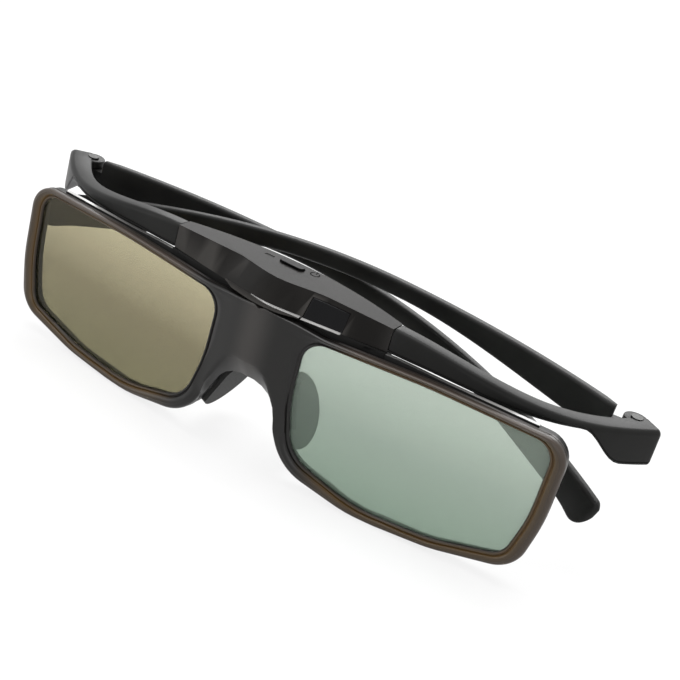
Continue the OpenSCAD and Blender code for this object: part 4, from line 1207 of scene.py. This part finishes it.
def metal(name, colour, rough):
    material, tree, shader = new_material(name)
    fine = noise_on(tree, METAL_GRAIN, METAL_DETAIL)
    tone = ramp_on(tree, fine, [(0.3, scaled(colour, METAL_DARK)), (0.7, colour)])
    tree.links.new(tone, shader.inputs["Base Color"])
    low, high = rough * (1 - METAL_SHIFT), rough * (1 + METAL_SHIFT)
    tree.links.new(range_on(tree, fine, low=low, high=high), shader.inputs["Roughness"])
    shader.inputs["Metallic"].default_value = 1.0
    return material


steel = metal("brushed_steel", (0.62, 0.61, 0.59), 0.3)
dark_steel = metal("dark_steel", (0.03, 0.03, 0.029), 0.4)
amber = plastic("amber_film", (0.32, 0.15, 0.03), 0.3)
INNER = {
    "usb_socket": steel, "cover_screws": steel, "arm_screws": steel,
    "left_hinge_pin": dark_steel, "right_hinge_pin": dark_steel,
    "left_lens_flex": amber, "right_lens_flex": amber,
    "power_switch": metal("switch_metal", (0.5, 0.5, 0.5), 0.4),
    "battery": metal("battery_foil", (0.66, 0.67, 0.68), 0.25),
    "main_board": plastic("board_varnish", (0.015, 0.12, 0.05), 0.3, coat=0.3),
    "controller_chip": plastic("chip_resin", (0.015, 0.015, 0.015), 0.5),
    "ir_receiver": plastic("receiver_resin", (0.02, 0.022, 0.028), 0.2),
    "status_led": plastic("led_body", (0.75, 0.72, 0.6), 0.35),
    "light_pipe": plastic("pipe_finish", (0.006, 0.006, 0.0057), 0.4, bump=0.0, specular=0.03),
}
for node, material in INNER.items():
    wear(material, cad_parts[node])
print("inner parts:", len(INNER))

# %% [markdown]
# The studio is a pale floor and a white surround. Both are white to the camera, to mirror rays and
# to rays through glass, while a plain grey level lights the object, so its colours come out as they
# are written. The floor only glows in part, so the shadow under the rims stays. Brighter lamps
# would make the floor white too, but they would wash out the lenses.

# %% World and floor
ROOM_LIGHT, FLOOR_GLOW, FLOOR_HALF, FLOOR_DROP = 0.55, 0.8, 3.0, 0.0002
FLOOR_TONE, FLOOR_ROUGH = (0.9, 0.9, 0.9, 1), 0.9


def white_to_camera(tree, seen, lit, out):
    """Light Path picks the seen shader for camera, mirror and glass rays, else the lit one."""
    path = tree.nodes.new("ShaderNodeLightPath")
    ray = path.outputs["Is Camera Ray"]
    for kind in ("Is Glossy Ray", "Is Transmission Ray"):
        either = tree.nodes.new("ShaderNodeMath")
        either.operation = "MAXIMUM"
        tree.links.new(ray, either.inputs[0])
        tree.links.new(path.outputs[kind], either.inputs[1])
        ray = either.outputs["Value"]
    mix = tree.nodes.new("ShaderNodeMixShader")
    tree.links.new(ray, mix.inputs["Fac"])
    tree.links.new(lit, mix.inputs[1])
    tree.links.new(seen, mix.inputs[2])
    tree.links.new(mix.outputs["Shader"], out)


def white_studio():
    world = bpy.data.worlds.new("white_studio")
    bpy.context.scene.world = world
    world.use_nodes = True
    tree = world.node_tree
    seen, lit = tree.nodes["Background"], tree.nodes.new("ShaderNodeBackground")
    for background, strength in ((seen, 1.0), (lit, ROOM_LIGHT)):
        background.inputs["Color"].default_value = (1, 1, 1, 1)
        background.inputs["Strength"].default_value = strength
    surface = tree.nodes["World Output"].inputs["Surface"]
    white_to_camera(tree, seen.outputs["Background"], lit.outputs["Background"], surface)


def floor_paint():
    material, tree, shader = new_material("pale_floor")
    shader.inputs["Base Color"].default_value = FLOOR_TONE
    shader.inputs["Roughness"].default_value = FLOOR_ROUGH
    shader.inputs["Specular IOR Level"].default_value = 0.0
    glow = tree.nodes.new("ShaderNodeEmission")
    glow.inputs["Strength"].default_value = 1.0
    half_glow = tree.nodes.new("ShaderNodeMixShader")
    half_glow.inputs["Fac"].default_value = FLOOR_GLOW
    tree.links.new(shader.outputs["BSDF"], half_glow.inputs[1])
    tree.links.new(glow.outputs["Emission"], half_glow.inputs[2])
    surface = tree.nodes["Material Output"].inputs["Surface"]
    white_to_camera(tree, half_glow.outputs["Shader"], shader.outputs["BSDF"], surface)
    return material


white_studio()
floor_mesh = bmesh.new()
bmesh.ops.create_grid(floor_mesh, x_segments=1, y_segments=1, size=FLOOR_HALF)
floor_data = bpy.data.meshes.new("pale_floor")
floor_mesh.to_mesh(floor_data)
floor_mesh.free()
floor = bpy.data.objects.new("pale_floor", floor_data)
bpy.context.scene.collection.objects.link(floor)
floor.location.z = -FLOOR_DROP
floor_data.materials.append(floor_paint())
print("floor:", 2 * FLOOR_HALF, "m wide")

# %% [markdown]
# The lamps are big and soft. A large box above lights the whole, a strip on the left and a weak
# fill in front keep the dark plastic readable, and a box behind draws the light line along the arms
# and the brow's top. Small lamps would give hard spots on the glossy lenses.

# %% Lamps
LAMP_TARGET = Vector((0, 0, 0.03))


def soft_lamp(name, place, width, height, power):
    lamp = bpy.data.lights.new(name, "AREA")
    lamp.shape, lamp.size, lamp.size_y, lamp.energy = "RECTANGLE", width, height, power
    holder = bpy.data.objects.new(name, lamp)
    bpy.context.scene.collection.objects.link(holder)
    way = (LAMP_TARGET - Vector(place)).to_track_quat("-Z", "Y").to_matrix().to_4x4()
    holder.matrix_world = Matrix.Translation(place) @ way
    return holder


lamps = [
    soft_lamp("top_box", (-0.1, 0.15, 0.9), width=0.9, height=0.6, power=8.0),
    soft_lamp("left_strip", (-0.7, -0.45, 0.35), width=0.25, height=0.9, power=2.0),
    soft_lamp("front_fill", (0.5, -0.8, 0.35), width=0.6, height=0.6, power=1.5),
    soft_lamp("rear_box", (-0.25, 0.95, 0.55), width=1.0, height=0.4, power=7.0),
]
print("lamps:", [lamp.name for lamp in lamps])

# %% [markdown]
# The camera was found by fitting the window corners, seams and end blocks of the drawing to the
# photograph. It looks from the right and above and is rolled, which is why the glasses run downhill
# to the right. Its three directions are worked out here, because a rolled camera is hard to set by
# angles alone.

# %% Camera
AZIMUTH, ELEVATION, ROLL = math.radians(23.686), math.radians(24.551), math.radians(16.280)
DISTANCE, FOCAL_PX, SHIFT_RIGHT, SHIFT_UP = 309.418, 1355.44, 18.987, 7.017
IMAGE_PX, SENSOR_MM = 680, 36.0
NEAR, FAR = 0.01, 20.0

level = Vector((math.cos(AZIMUTH), math.sin(AZIMUTH), 0))
flat_back = Vector((math.sin(AZIMUTH), -math.cos(AZIMUTH), 0))
back = flat_back * math.cos(ELEVATION) + Vector((0, 0, math.sin(ELEVATION)))
upright = back.cross(level)
camera_right = math.cos(ROLL) * level + math.sin(ROLL) * upright
camera_up = math.cos(ROLL) * upright - math.sin(ROLL) * level
eye = back * DISTANCE + camera_right * SHIFT_RIGHT + camera_up * SHIFT_UP
camera_data = bpy.data.cameras.new("camera")
camera_data.sensor_fit = "HORIZONTAL"
camera_data.sensor_width = SENSOR_MM
camera_data.lens = FOCAL_PX / IMAGE_PX * SENSOR_MM
camera_data.clip_start, camera_data.clip_end = NEAR, FAR
camera = bpy.data.objects.new("camera", camera_data)
bpy.context.scene.collection.objects.link(camera)
turn = Matrix((camera_right, camera_up, back)).transposed().to_4x4()
camera.matrix_world = Matrix.Translation(at(*eye)) @ turn
bpy.context.scene.camera = camera
bpy.context.scene.view_settings.view_transform = "Standard"
print("camera at", [round(c, 4) for c in camera.matrix_world.translation])
print("lens:", round(camera_data.lens, 2), "mm")
